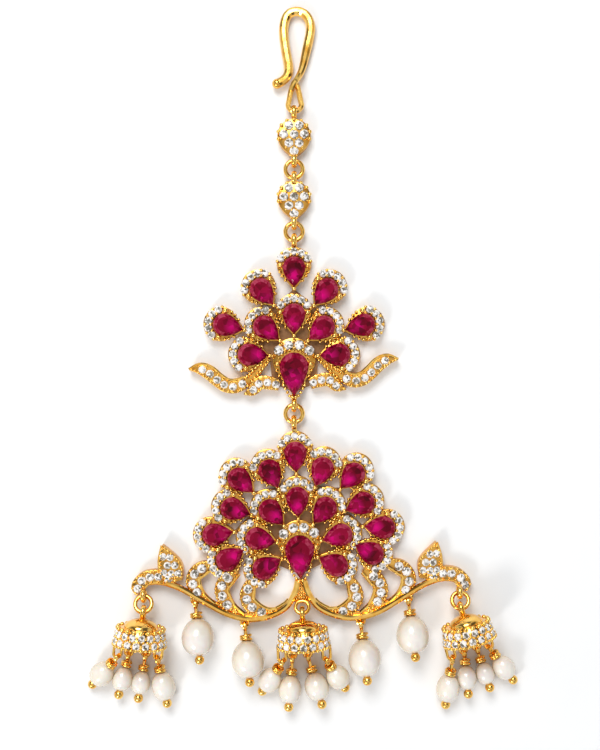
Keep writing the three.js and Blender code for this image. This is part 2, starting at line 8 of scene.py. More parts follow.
import math

import bmesh
import bpy
from mathutils import Matrix, Vector, noise


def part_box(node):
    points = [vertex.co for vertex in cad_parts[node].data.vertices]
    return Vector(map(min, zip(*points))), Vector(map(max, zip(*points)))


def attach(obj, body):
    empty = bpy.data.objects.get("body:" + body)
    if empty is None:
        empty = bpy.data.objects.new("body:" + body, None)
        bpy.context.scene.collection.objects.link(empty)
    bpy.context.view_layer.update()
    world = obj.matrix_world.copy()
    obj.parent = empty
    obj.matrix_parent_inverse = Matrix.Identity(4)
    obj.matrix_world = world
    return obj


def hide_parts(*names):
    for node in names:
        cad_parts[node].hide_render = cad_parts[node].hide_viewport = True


# %% [markdown]
# ## The frame
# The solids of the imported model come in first. Their box is kept, because the dressed model has to have the
# same size. All the making below is in millimetres, and one scale turns it into Blender's metres at the
# end.

# %% Load the frame
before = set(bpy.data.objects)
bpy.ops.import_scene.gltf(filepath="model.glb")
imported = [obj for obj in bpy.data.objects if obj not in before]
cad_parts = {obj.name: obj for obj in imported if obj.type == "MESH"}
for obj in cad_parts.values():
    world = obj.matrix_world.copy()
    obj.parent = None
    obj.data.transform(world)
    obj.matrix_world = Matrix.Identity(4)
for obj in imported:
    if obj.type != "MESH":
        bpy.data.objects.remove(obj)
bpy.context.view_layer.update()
MM = 0.001
SIDES = ((-1, "left"), (1, "right"))
print("solids:", len(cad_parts))

# %% [markdown]
# ## Sizes of the wirework
# A link needs room for the next one, so the radius of each link follows from the wire and from the air
# between wires. The same sums are in the part's source, so the fine pieces sit just where the plain ones
# are.

# %% Wire sizes
RING_WIRE = 0.375
BAIL_WIRE = 0.3
EYE_WIRE = 0.2
LONG_WIRE = 0.41
AIR = 0.3
BAIL = RING_WIRE + BAIL_WIRE + AIR
HOOK_BAIL = LONG_WIRE + BAIL_WIRE + AIR
RING = BAIL + BAIL_WIRE + 0.225
BELL_RING = BAIL + BAIL_WIRE + 0.15
EYE = 2 * EYE_WIRE + 0.25
CHAIN_HEIGHT = HOOK_BAIL + BAIL_WIRE
PLATE = 2.2
RIBBON = 2.0
GIRDLE = PLATE + 0.1

# %% [markdown]
# ## Where each group hangs
# Everything hangs in a line from the hair hook, and the lower fan swings a little about its own bail. A
# matrix for each group holds its place, found from the box of the lowest link, so every piece can be drawn
# around its own zero.


# %% Places of the groups
def at(x, y, z=0.0, turn=0.0):
    return Matrix.Translation((x, y, z)) @ Matrix.Rotation(math.radians(turn), 4, "Z")


low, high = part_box("link_ring_3")
chain_x = (low[0] + high[0]) / 2 / MM
chain_y = (low[1] + high[1]) / 2 / MM - RING
UPPER_REACH, LOWER_REACH = 17.6, 17.3
BIG_TIP = -4.4
CREST = 4.3
TOP_BAIL, LOWER_BAIL, TIP_BAIL, DROP_BAIL = 1.05, 1.45, 1.2, 0.5
DROP_HALF = 3.4
upper_y = 2 * RING + TIP_BAIL - BIG_TIP
upper_top = upper_y + UPPER_REACH + CREST
drop_2_y = upper_top + TOP_BAIL + 2 * RING + DROP_BAIL + DROP_HALF
drop_1_y = drop_2_y + 2 * RING + 2 * (DROP_HALF + DROP_BAIL)
hook_y = drop_1_y + DROP_HALF + TOP_BAIL
home = at(chain_x, chain_y)
upper = home @ at(0, upper_y)
LOWER_TURN = 2.5
swing = math.radians(LOWER_TURN)
hang = LOWER_REACH + CREST + LOWER_BAIL
lower = home @ at(hang * math.sin(swing), -hang * math.cos(swing), 0, LOWER_TURN)
print("chain", round(chain_x, 2), round(chain_y, 2))
print("upper fan", upper.translation, "lower fan", lower.translation)

# %% [markdown]
# ## The camera
# The ornament is seen from straight above, from 200 millimetres away, which is close enough for the bells
# to lean outwards a little. The sensor's 36 millimetres lie along the long side of the picture.

# %% Camera
EYE_HEIGHT, MIDDLE_HEIGHT = 200, 2.5
FIELD, SENSOR = 129.3, 36
AIM_X, AIM_Y = 1.03, 8.2
camera_data = bpy.data.cameras.new("camera")
camera_data.lens = SENSOR * (EYE_HEIGHT - MIDDLE_HEIGHT) / FIELD
camera_data.clip_start = 0.01
camera = bpy.data.objects.new("camera", camera_data)
camera.location = ((chain_x + AIM_X) * MM, (chain_y + AIM_Y) * MM, EYE_HEIGHT * MM)
bpy.context.collection.objects.link(camera)
bpy.context.scene.camera = camera
print("lens", round(camera_data.lens, 1), "camera", [round(v, 4) for v in camera.location])

# %% [markdown]
# ## Finishes
# Each finish is one Principled shader whose colour, roughness and bump come from noise on Object
# coordinates. The helpers below add a node and link its inputs, so that a finish reads as a short recipe.

# %% Node helpers
WAVE_HEIGHT = 0.0001


def finish(name):
    material = bpy.data.materials.new(name)
    material.use_nodes = True
    return material, material.node_tree.nodes["Principled BSDF"]


def node(material, kind, links=(), **values):
    made = material.node_tree.nodes.new(kind)
    for key, value in values.items():
        setattr(made, key, value)
    for socket, source in dict(links).items():
        if isinstance(source, bpy.types.NodeSocket):
            material.node_tree.links.new(source, made.inputs[socket])
        else:
            made.inputs[socket].default_value = source
    return made


def ramp(material, source, stops):
    made = node(material, "ShaderNodeValToRGB", {"Fac": source})
    elements = made.color_ramp.elements
    while len(elements) < len(stops):
        elements.new(0.5)
    for element, (position, colour) in zip(elements, stops):
        element.position = position
        element.color = (*colour, 1)
    return made.outputs["Color"]


def link(material, source, socket):
    material.node_tree.links.new(source, socket)


def clouds(material, place, scale, detail=2.0):
    sockets = {"Vector": place, "Scale": scale, "Detail": detail}
    return node(material, "ShaderNodeTexNoise", sockets).outputs["Fac"]


def spread(material, source, old, new):
    sockets = {"Value": source, "From Min": old[0], "From Max": old[1], "To Min": new[0], "To Max": new[1]}
    return node(material, "ShaderNodeMapRange", sockets).outputs["Result"]


def weigh(material, source, share, base):
    sockets = {0: source, 1: share, 2: base}
    return node(material, "ShaderNodeMath", sockets, operation="MULTIPLY_ADD").outputs[0]


def mix(material, share, first, second, way="MIX"):
    sockets = {"Fac": share, "Color1": first, "Color2": second}
    return node(material, "ShaderNodeMixRGB", sockets, blend_type=way).outputs["Color"]


def waves(material, shader, height, strength):
    sockets = {"Height": height, "Distance": WAVE_HEIGHT, "Strength": strength}
    link(material, node(material, "ShaderNodeBump", sockets).outputs["Normal"], shader.inputs["Normal"])


# %% [markdown]
# ## Gold
# Yellow gold with a high polish is a pale straw colour where it faces the light and turns to orange and
# brown where it reflects itself. The beds between the beads are painted a deeper gold, a painted shade for
# the little light that reaches them, and the beads are painted a little paler, as painted light on them.
# Soft noise varies the colour a little, and a finer noise gives the small waves that hand polishing
# leaves, in the roughness and in the bump. The back plate is left dull by the goldsmith, and its dark
# brown colour is painted shade.


# %% Gold finishes
def gold_finish(name, light, deep, rough, wave):
    material, shader = finish(name)
    place = node(material, "ShaderNodeTexCoord").outputs["Object"]
    tint = ramp(material, clouds(material, place, 700.0, 3.0), [(0.3, deep), (0.62, light)])
    link(material, tint, shader.inputs["Base Color"])
    fine = clouds(material, place, 2600.0, 4.0)
    link(material, spread(material, fine, (0.0, 1.0), rough), shader.inputs["Roughness"])
    waves(material, shader, fine, wave)
    shader.inputs["Metallic"].default_value = 1.0
    return material


gold = gold_finish("polished_gold", (1.0, 0.64, 0.17), (0.9, 0.44, 0.06), (0.06, 0.16), 0.04)
# beaded gold is a paler copy of the gold: painted light on the raised beads
bead_gold_painted_light = gold_finish("beaded_gold_painted_light", (1.0, 0.68, 0.2), (0.95, 0.52, 0.09), (0.06, 0.16), 0.03)
# bed gold is a darker copy of the gold: painted shade in the beds between the beads
bed_gold_painted_shade = gold_finish("bed_gold_painted_shade", (0.84, 0.47, 0.1), (0.66, 0.3, 0.04), (0.14, 0.28), 0.06)
# the back plate is really dull, and its dark brown colour is painted shade for the deep gaps
dull_gold_painted_shade = gold_finish("dull_gold_painted_shade", (0.33, 0.18, 0.09), (0.22, 0.11, 0.05), (0.45, 0.6), 0.3)

# %% [markdown]
# ## Ruby
# A ruby's colour is light that has gone in at the crown and come back from the facets below, so the table
# shows dark and bright cells round a magenta flash. Tracing that light is slow and noisy. Here that light
# is painted: the red is the stone's own, while its dark and bright cells and the magenta flash are painted
# light, drawn on the stone's own UV map and on each facet's painted light value, and the crown's real
# facets carry a faint gloss.


# %% Ruby finish
RUBY_PAINTED_CELLS = [(0.3, (0.06, 0.0, 0.004)), (0.5, (0.16, 0.0, 0.014)), (0.74, (0.28, 0.002, 0.032)),
              (1.0, (0.42, 0.05, 0.1))]
FLASH = (0.6, 0.0, 0.16, 1)


def ruby_finish():
    material, shader = finish("ruby")
    cut = node(material, "ShaderNodeUVMap", uv_map="cut").outputs["UV"]
    place = node(material, "ShaderNodeTexCoord").outputs["Object"]
    shift = node(material, "ShaderNodeVectorMath", {0: place, 1: (90.0, 90.0, 90.0)}, operation="MULTIPLY")
    varied = node(material, "ShaderNodeVectorMath", {0: cut, 1: shift.outputs["Vector"]}, operation="ADD")
    sockets = {"Vector": varied.outputs["Vector"], "Scale": 4.5, "Randomness": 0.9}
    cells = node(material, "ShaderNodeTexVoronoi", sockets)
    cell_tone = node(material, "ShaderNodeSeparateColor", {"Color": cells.outputs["Color"]})
    facet_light = node(material, "ShaderNodeAttribute", attribute_name="facet_light").outputs["Fac"]
    patch = weigh(material, cell_tone.outputs["Red"], 0.3, facet_light)
    # the ruby red is the stone's own; its dark and bright cells are painted light
    body = ramp(material, weigh(material, clouds(material, place, 190.0, 0.0), 0.5, patch), RUBY_PAINTED_CELLS)
    heart = node(material, "ShaderNodeVectorMath", {0: cut, 1: (0.5, 0.3, 0.0)}, operation="DISTANCE")
    near = spread(material, heart.outputs["Value"], (0.03, 0.28), (1.0, 0.0))
    glint = spread(material, cell_tone.outputs["Green"], (0.2, 0.8), (0.15, 1.0))
    flash = node(material, "ShaderNodeMath", {0: near, 1: glint}, operation="MULTIPLY").outputs[0]
    # the magenta flash round the heart is painted light
    link(material, mix(material, flash, body, FLASH), shader.inputs["Base Color"])
    smooth = spread(material, clouds(material, place, 1500.0), (0.0, 1.0), (0.02, 0.08))
    link(material, smooth, shader.inputs["Roughness"])
    shader.inputs["IOR"].default_value = 1.6
    shader.inputs["Specular IOR Level"].default_value = 0.07
    return material


ruby = ruby_finish()

# %% [markdown]
# ## Clear stones
# A small brilliant looks like a broken mirror: some facets flash white and others are dark. Here those
# flashes and darks are painted reflections in the base colour. Each facet of the stone keeps a painted
# light value as an attribute of its face. Fine cells break that value up, and warm darks are a painted
# reflection of the gold below.


# %% Clear stone finish
def clear_finish():
    material, shader = finish("clear_stone")
    facet_light = node(material, "ShaderNodeAttribute", attribute_name="facet_light").outputs["Fac"]
    place = node(material, "ShaderNodeTexCoord").outputs["Object"]
    spark = node(material, "ShaderNodeTexVoronoi", {"Vector": place, "Scale": 2600.0})
    spark_tone = node(material, "ShaderNodeSeparateColor", {"Color": spark.outputs["Color"]})
    total = weigh(material, spark_tone.outputs["Red"], 0.75, facet_light)
    # painted reflections: white flashes, greys, and warm darks for the gold below
    reflection_greys = [(0.24, (0.1, 0.08, 0.05)), (0.4, (0.42, 0.39, 0.34)), (0.56, (0.88, 0.87, 0.86)),
             (1.0, (1, 1, 1))]
    link(material, ramp(material, total, reflection_greys), shader.inputs["Base Color"])
    shader.inputs["Roughness"].default_value = 0.08
    shader.inputs["IOR"].default_value = 2.0
    return material


clear = clear_finish()

# %% [markdown]
# ## Pearl
# Nacre is a stack of thin clear plates: light sinks in a little and comes back soft, under a wet gloss. Its
# body is white on top, and a painted shade turns it to cream and tan at the sides, where the surface turns
# away from above. Soft cloudy patches are a little warmer or rosier.


# %% Pearl finish
NACRE_TONES = [(0.3, (0.87, 0.79, 0.66)), (0.5, (0.89, 0.86, 0.79)), (0.7, (0.82, 0.76, 0.75))]
NACRE_SIDE_SHADE = (0.68, 0.54, 0.35, 1)


def finish_pearl():
    material, shader = finish("pearl_nacre")
    place = node(material, "ShaderNodeTexCoord").outputs["Object"]
    body = ramp(material, clouds(material, place, 230.0, 3.0), NACRE_TONES)
    normal = node(material, "ShaderNodeNewGeometry").outputs["Normal"]
    facing = node(material, "ShaderNodeSeparateXYZ", {"Vector": normal})
    # painted shade: the colour darkens to tan as the surface turns away from above
    side = spread(material, facing.outputs["Z"], (0.0, 0.9), (1.0, 0.0))
    link(material, mix(material, side, body, NACRE_SIDE_SHADE), shader.inputs["Base Color"])
    waves(material, shader, clouds(material, place, 600.0), 0.2)
    shader.inputs["Roughness"].default_value = 0.25
    shader.inputs["Subsurface Weight"].default_value = 0.12
    shader.inputs["Subsurface Scale"].default_value = 0.001
    shader.inputs["Coat Weight"].default_value = 1.0
    shader.inputs["Coat Roughness"].default_value = 0.16
    return material


nacre = finish_pearl()

# %% [markdown]
# ## Helpers for the making
# Every piece starts as a bmesh in millimetres. The helper `keep` turns it into an object in metres at the
# origin, with its faces outwards, and hides the frame's solid that it stands for.


# %% Keep a piece
FACET_ANGLE = 1


def keep(name, bm, material, slot, *nodes, angle=35):
    bmesh.ops.recalc_face_normals(bm, faces=bm.faces)
    mesh = bpy.data.meshes.new(name)
    bm.to_mesh(mesh)
    bm.free()
    mesh.transform(Matrix.Scale(MM, 4))
    mesh.shade_smooth()
    mesh.set_sharp_from_angle(angle=math.radians(angle))
    mesh.materials.append(material)
    piece = bpy.data.objects.new(name, mesh)
    bpy.context.collection.objects.link(piece)
    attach(piece, "root")
    if nodes:
        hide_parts(*nodes)
    print(name, len(mesh.polygons), "faces")
    return piece


def blank(count):
    return [bmesh.new() for _ in range(count)]


def pick(made, kind):
    return [g for g in made if isinstance(g, kind)]


def template(bm):
    mesh = bpy.data.meshes.new("template")
    bm.to_mesh(mesh)
    bm.free()
    return mesh


def stamp(bm, mesh, matrix):
    copy = mesh.copy()
    copy.transform(matrix)
    bm.from_mesh(copy)
    bpy.data.meshes.remove(copy)


def add(bm, part, matrix):
    mesh = template(part)
    stamp(bm, mesh, matrix)
    bpy.data.meshes.remove(mesh)


# %% [markdown]
# ## Rings and wires
# A ring is a circle of wire spun round an axis. A wire that wanders is a curve with a round bevel, turned
# into a mesh at once. Lines through a few measured points are smoothed the same way as in the part's
# source.


# %% Rings, wires and smooth lines
def ring(bm, matrix, loop, wire, steps=40, sides=12):
    part = bmesh.new()
    start = at(loop, 0) @ Matrix.Rotation(math.pi / 2, 4, "X")
    bmesh.ops.create_circle(part, segments=sides, radius=wire, matrix=start)
    bmesh.ops.spin(part, geom=part.verts[:] + part.edges[:], cent=(0, 0, 0), axis=(0, 0, 1),
                   angle=2 * math.pi, steps=steps, use_merge=True)
    add(bm, part, matrix)


EDGE_ON = Matrix.Rotation(math.pi / 2, 4, "Y")
BROAD = Matrix.Diagonal((1, 1, 1.5, 1))


def smooth_line(points, steps):
    points = [Vector(point) for point in points]
    points = [2 * points[0] - points[1], *points, 2 * points[-1] - points[-2]]
    line = []
    for a, b, c, d in zip(points, points[1:], points[2:], points[3:]):
        for i in range(steps):
            t = i / steps
            line.append(0.5 * (2 * b + (c - a) * t + (2 * a - 5 * b + 4 * c - d) * t**2
                               + (3 * b - a - 3 * c + d) * t**3))
    return [*line, points[-2]]


def wire(bm, matrix, points, radius, closed=False, taper=None):
    curve = bpy.data.curves.new("wire", "CURVE")
    curve.dimensions = "3D"
    curve.bevel_depth = radius
    curve.bevel_resolution = 3
    curve.use_fill_caps = True
    spline = curve.splines.new("POLY")
    spline.points.add(len(points) - 1)
    for i, (corner, point) in enumerate(zip(spline.points, points)):
        corner.co = (*point, 1)
        corner.radius = taper(i / (len(points) - 1)) if taper else 1
    spline.use_cyclic_u = closed
    holder = bpy.data.objects.new("wire", curve)
    mesh = bpy.data.meshes.new_from_object(holder)
    stamp(bm, mesh, matrix)
    bpy.data.objects.remove(holder)
    bpy.data.curves.remove(curve)
    bpy.data.meshes.remove(mesh)


def long_eye(bm, matrix, radius, wire_size, straight, pinch=0.0):
    height = 2 * radius + straight
    points = []
    for i in range(44):
        angle = i / 44 * 2 * math.pi
        up = radius * (1 + math.sin(angle)) + (straight if math.sin(angle) > 0 else 0)
        narrow = 1 - pinch * max(0, up - radius) / (height - radius)
        points.append((radius * math.cos(angle) * narrow, up, 0))
    wire(bm, matrix, points, wire_size, closed=True)


def relax(line, rounds):
    for _ in range(rounds):
        inner = [(a + 2 * b + c) / 4 for a, b, c in zip(line, line[1:], line[2:])]
        line = [line[0], *inner, line[-1]]
    return line


# %% [markdown]
# ## Pear outlines and plates
# The rubies, their settings and the pave drops are all pears: a round end and two flanks that close in a
# point. A plate starts as a circle whose corners are moved on to such an outline. It is then extruded and
# its top edge is bevelled, as a file would round it.


# %% Pears, plates and collars
def pear(radius, centre, tip, belly=0.6, flank=5, arc=14):
    dip = math.radians(18)
    shoulder = Vector((radius * math.cos(dip), centre - radius * math.sin(dip)))
    control = shoulder + belly * radius * Vector((-math.sin(dip), -math.cos(dip)))
    end = Vector((0, tip))
    right = []
    for i in range(flank):
        t = i / flank
        right.append((1 - t) ** 2 * end + 2 * t * (1 - t) * control + t**2 * shoulder)
    outline = list(right)
    for i in range(arc + 1):
        angle = -dip + i / arc * (math.pi + 2 * dip)
        outline.append(Vector((radius * math.cos(angle), centre + radius * math.sin(angle))))
    outline += [Vector((-p.x, p.y)) for p in reversed(right[1:])]
    return outline


def flat(bm, outline, z, matrix):
    verts = bmesh.ops.create_circle(bm, cap_ends=True, segments=len(outline), radius=1)["verts"]
    for vert, point in zip(verts, outline):
        vert.co = matrix @ Vector((point.x, point.y, z))
    return verts[0].link_faces[0]


def raise_faces(bm, faces, height, matrix):
    made = bmesh.ops.extrude_face_region(bm, geom=faces)["geom"]
    up = matrix.to_3x3() @ Vector((0, 0, height))
    bmesh.ops.translate(bm, vec=up, verts=pick(made, bmesh.types.BMVert))
    return pick(made, bmesh.types.BMFace)


def soften(bm, edges, offset):
    bmesh.ops.bevel(bm, geom=edges, offset=offset, offset_type="OFFSET", segments=2, profile=0.5,
                    affect="EDGES", material=-1)


def plate(bm, outline, low, high, matrix, soft=0.2):
    top = raise_faces(bm, [flat(bm, outline, low, matrix)], high - low, matrix)
    soften(bm, top[0].edges[:], soft)


def collar(bm, outline, low, high, thick, matrix):
    face = flat(bm, outline, low, matrix)
    rim = bmesh.ops.inset_region(bm, faces=[face], thickness=thick, use_even_offset=True)["faces"]
    bmesh.ops.delete(bm, geom=[face], context="FACES_ONLY")
    raise_faces(bm, rim, high - low, matrix)


# %% [markdown]
# ## Cut stones
# A cut stone is its outline raised ring by ring: the girdle, a ring of kites, and the table. Each ring is
# turned by half a step against the one below, so the facets between them are triangles, as on a brilliant.
# The pavilion below closes in a point. Every facet gets a painted light value for its finish: a random
# flash, a lift of painted light on the stone's upper half, and painted shade on the table.


# %% Cut a stone
def next_ring(bm, face, old, new):
    made = bmesh.ops.extrude_face_region(bm, geom=[face])["geom"]
    for vert in pick(made, bmesh.types.BMVert):
        nearest = min(range(len(old)), key=lambda i: (old[i] - vert.co).length)
        vert.co = new[nearest]
    return pick(made, bmesh.types.BMFace)[0]


def half_step(points, middle, share, z):
    turned = []
    for a, b in zip(points, [*points[1:], points[0]]):
        flat_point = (a + b) / 2
        turned.append(Vector((middle.x + (flat_point.x - middle.x) * share,
                              middle.y + (flat_point.y - middle.y) * share, z)))
    return turned


def cut_stone(outline, middle, crown, deep):
    bm = bmesh.new()
    girdle = [Vector((p.x, p.y, 0)) for p in outline]
    base = flat(bm, outline, 0, Matrix.Identity(4))
    kites = half_step(girdle, middle, 0.87, crown * 0.55)
    table = half_step(kites, middle, 0.8, crown)
    face = next_ring(bm, base, girdle, kites)
    face = next_ring(bm, face, kites, table)
    bmesh.ops.recalc_face_normals(bm, faces=bm.faces)
    base = min(bm.faces, key=lambda f: f.calc_center_median().z)
    point = bmesh.ops.poke(bm, faces=[base])["verts"][0]
    point.co = Vector((middle.x, middle.y, -deep))
    bmesh.ops.triangulate(bm, faces=[f for f in bm.faces if len(f.verts) == 4])
    facet_light = bm.faces.layers.float.new("facet_light")
    cut = bm.loops.layers.uv.new("cut")
    size = max(p.y for p in outline) - min(p.y for p in outline)
    for i, f in enumerate(bm.faces):
        # painted light: a random flash for each facet, lighter on the stone's upper half
        upper_side_light = 0.14 if f.calc_center_median().y > 0 else 0
        f[facet_light] = 0.5 * abs(noise.cell(Vector((i * 7.31, i * 3.7, 2.5)))) + upper_side_light
        # painted shade: the table is painted dark
        if f.normal.z > 0.98:
            f[facet_light] = 0.08
        for loop in f.loops:
            loop[cut].uv = (0.5 + loop.vert.co.x / size, 0.5 + (loop.vert.co.y - middle.y) / size)
    return template(bm)


small_ruby = cut_stone(pear(1.98, 0.5, -2.8, belly=0.8, flank=4, arc=10), Vector((0, 0.2, 0)), 0.75, 1.2)
big_ruby = cut_stone(pear(2.52, 1.0, -3.98, belly=0.95, flank=5, arc=12), Vector((0, 0.3, 0)), 0.85, 1.2)
circle_points = [Vector((math.cos(i * math.pi / 4), math.sin(i * math.pi / 4))) for i in range(8)]
brilliant = cut_stone(circle_points, Vector((0, 0, 0)), 0.42, 0.5)
print("facets: ruby", len(small_ruby.polygons), "clear stone", len(brilliant.polygons))

# %% [markdown]
# ## Beads
# The smallest gold is round: the prongs that hold the stones and the rows of grains along the edges. One
# small ball is stamped hundreds of times, so it has only a few dozen faces. The same stamping places the
# clear stones, each turned by its own angle so that no two flash alike.

# %% Beads and clear stones
ball = bmesh.new()
bmesh.ops.create_icosphere(ball, subdivisions=2, radius=1)
bead_mesh = template(ball)


def bead(bm, matrix, x, y, z, radius):
    stamp(bm, bead_mesh, matrix @ at(x, y, z) @ Matrix.Scale(radius, 4))


def clear_stone(bm, matrix, x, y, z, radius=0.76):
    turn = Matrix.Rotation(7.0 * x + 3.0 * y, 4, "Z")
    stamp(bm, brilliant, matrix @ at(x, y, z) @ turn @ Matrix.Scale(radius, 4))


# %% [markdown]
# ## Rubies of the two fans
# A table gives each ruby its place as a share of the fan's reach and the lean of its pear. The rows are the
# same as in the part's source. One object is kept for each stone, because each one is a solid of the frame.

# %% Ruby places
UPPER_ROWS = [
    ("top", 0, 1, 0), ("high", 0.307, 0.795, 39), ("outer", 0.656, 0.463, 75), ("low", 0.412, 0.176, 87),
    ("middle", 0.27, 0.432, 49), ("centre", 0, 0.54, 0),
]
LOWER_ROWS = [
    ("top", 0, 1, 0), ("high", 0.254, 0.838, 24), ("shoulder", 0.555, 0.775, 44), ("side", 0.63, 0.491, 69),
    ("outer", 0.82, 0.251, 95), ("low", 0.7, 0.006, 119), ("foot", 0.338, -0.098, 116),
    ("centre", 0, 0.549, 0), ("inner", 0.26, 0.445, 40), ("waist", 0.393, 0.185, 76),
]


def ruby_places(fan, rows, reach):
    places = [("big", fan)]
    for name, across, up, lean in rows:
        for side, word in SIDES if across else ((1, ""),):
            label = f"{name}_{word}" if word else name
            places.append((label, fan @ at(side * across * reach, up * reach, 0, -side * lean)))
    return places


upper_places = ruby_places(upper, UPPER_ROWS, UPPER_REACH)
lower_places = ruby_places(lower, LOWER_ROWS, LOWER_REACH)

for fan_name, places in (("upper", upper_places), ("lower", lower_places)):
    for label, place in places:
        stone = bmesh.new()
        stamp(stone, big_ruby if label == "big" else small_ruby, place @ at(0, 0, GIRDLE))
        node_name = f"{fan_name}_ruby_{label}"
        keep(f"{node_name}_cut", stone, ruby, "ruby", node_name, angle=FACET_ANGLE)

# %% [markdown]
# ## Settings of the rubies
# Each ruby sits in a gold pear with a thin bright collar round the stone. A crescent of clear stones crowns
# its round end, five small ones or four larger ones, with beads between them on both sides. Two large balls
# hold the ruby at its shoulders and one or two at its tip, and lower grains follow the flanks.


# %% One setting
SEAT = PLATE - 0.2
OUTER_WALL, BEZEL_WALL, BEZEL_GAP = 0.24, 0.24, 0.26
PRONG, PRONG_TURN = 0.46, 80
FLANK_GRAINS = (3.4, 5.4, 7.4, 9.4)
BIG_FLANK = ((0.75, -0.5), (1.15, 0.1), (1.5, 0.75), (1.8, 1.4))
FINE = {"flank": 8, "arc": 20}
SMALL = {"pear": (2.0, 0.5, -2.5), "side": 1.07, "crest": 1.8, "bezel_tip": 0.55, "reach": 0.86, "aside": 0.5,
         "stone": 0.7, "grain": 0.26, "angles": (-53, -26.5, 0, 26.5, 53), "last": 15}
BIG = {"pear": (2.5, 1.0, -3.5), "side": 1.3, "crest": 2.6, "bezel_tip": 0.72, "reach": 1.4, "aside": 0.62,
       "stone": 0.88, "grain": 0.29, "angles": (-43, -13.5, 13.5, 43), "last": 21}


def on_arc(centre, reach, angle):
    a = math.radians(angle)
    return reach * math.sin(a), centre + reach * math.cos(a)


def setting(body, bed, grains, stones, place, big):
    kind = BIG if big else SMALL
    radius, centre, tip = kind["pear"]
    outer = radius + kind["side"]
    middle = centre + radius + kind["crest"] - outer
    plate(bed, pear(outer - 0.05, middle, tip - 0.7, belly=0.2, **FINE), 0, PLATE - 0.9, place, 0.15)
    outline = pear(outer, middle, tip - 0.75, belly=0.2, **FINE)
    collar(body, outline, 0.3, PLATE - 0.35, OUTER_WALL, place)
    bezel = pear(radius + BEZEL_GAP, centre, tip - kind["bezel_tip"], belly=0.85, **FINE)
    collar(body, bezel, 0.8, GIRDLE + 0.16, BEZEL_WALL, place)
    reach, angles = radius + kind["reach"], kind["angles"]
    for angle in angles:
        clear_stone(stones, place, *on_arc(centre, reach, angle), SEAT, kind["stone"])
    for a, b in zip(angles, angles[1:]):
        for way in (-1, 1):
            spot = on_arc(centre, reach + way * kind["aside"], (a + b) / 2)
            bead(grains, place, *spot, SEAT + 0.05, kind["grain"])
    for way in (-1, 1):
        bead(grains, place, *on_arc(centre, radius + 0.42, way * PRONG_TURN), GIRDLE + 0.25, PRONG)
        for step in FLANK_GRAINS:
            low, share = int(step), step % 1
            wall = outline[low].lerp(outline[low + 1], share)
            inside = bezel[low].lerp(bezel[low + 1], share)
            spot = wall.lerp(inside, 0.5)
            size = min(0.3, 0.06 + 0.3 * (wall - inside).length)
            bead(grains, place, way * spot.x, spot.y, SEAT - 0.45, size)
        bead(grains, place, *on_arc(centre, reach + 0.25, way * (angles[-1] + kind["last"])), SEAT - 0.1, 0.3)
    if not big:
        bead(grains, place, 0, tip - 0.6, GIRDLE + 0.15, 0.4)
        return
    for angle in range(-60, 61, 15):
        bead(grains, place, *on_arc(centre, radius + 0.5, angle), SEAT - 0.1, 0.23)
    for way in (-1, 1):
        bead(grains, place, way * 0.32, tip - 0.75, GIRDLE, 0.33)
        for x, y in BIG_FLANK:
            bead(grains, place, way * x, tip + y, SEAT - 0.3, 0.3)


# %% [markdown]
# ## The back plate
# Behind the stones a thin plate ties the fan together. It runs from tip to tip of the outer rubies and
# shows in the gaps between them as a dull gold, painted dark brown as painted shade for those deep gaps.


# %% Back plate
def back_plate(name, rows, reach, fan, edge_rows, nodes):
    right = []
    for row_name, across, up, lean in rows:
        if row_name in edge_rows:
            turn = -math.radians(lean)
            right.append(Vector((across * reach + 3 * math.sin(turn), up * reach - 3 * math.cos(turn))))
    right += [Vector((3.8, -1.75)), Vector((0, -3.5))]
    left = [Vector((-p.x, p.y)) for p in reversed(right[1:-1])]
    bm = bmesh.new()
    outline = list(reversed([*right, *left]))
    raise_faces(bm, [flat(bm, outline, 0, fan)], 0.6, fan)
    # the dark brown finish of the back plate is painted shade
    return keep(name, bm, dull_gold_painted_shade, "gold", *nodes)


upper_edges = {"top", "high", "outer", "low"}
lower_edges = {"top", "high", "shoulder", "side", "outer", "low", "foot"}
back_plate("upper_back_plate", UPPER_ROWS, UPPER_REACH, upper, upper_edges, ["upper_fan"])
back_plate("lower_back_plate", LOWER_ROWS, LOWER_REACH, lower, lower_edges, ["lower_fan"])

# %% [markdown]
# ## Ribbons
# Wings, leaves, arches and commas are ribbons that widen and narrow along a curved line. A ribbon grows
# from one cross edge that is extruded from step to step and then raised. Stones sit on its line, prong
# beads stand between them on both sides, and a polished strip may follow one of its edges.


# %% Ribbon body
def crosses(line):
    pairs = []
    for i, point in enumerate(line):
        before, after = line[max(i - 1, 0)], line[min(i + 1, len(line) - 1)]
        forward = Vector((after.x - before.x, after.y - before.y)).normalized()
        across = Vector((-forward.y, forward.x))
        middle = Vector((point.x, point.y))
        pairs.append((middle + across * point.z, middle - across * point.z))
    return pairs


def ribbon(bm, line, low, high, matrix, soft=0.18):
    pairs = crosses(line)
    left, right = [bm.verts.new(matrix @ Vector((*p, low))) for p in pairs[0]]
    edge = bm.edges.new((left, right))
    faces = []
    for next_left, next_right in pairs[1:]:
        made = bmesh.ops.extrude_edge_only(bm, edges=[edge])["geom"]
        left, right = sorted(pick(made, bmesh.types.BMVert), key=lambda v: (v.co - left.co).length)
        faces += pick(made, bmesh.types.BMFace)
        left.co = matrix @ Vector((*next_left, low))
        right.co = matrix @ Vector((*next_right, low))
        edge = bm.edges.get((left, right))
    top = raise_faces(bm, faces, high - low, matrix)
    rim = list({e for f in top for e in f.edges if sum(g in top for g in e.link_faces) == 1})
    soften(bm, rim, soft)


# %% [markdown]
# Beads follow both edges of a ribbon at even steps, and clear stones follow its middle. The table gives the
# spacing and the radius of the stones on each kind of ribbon.

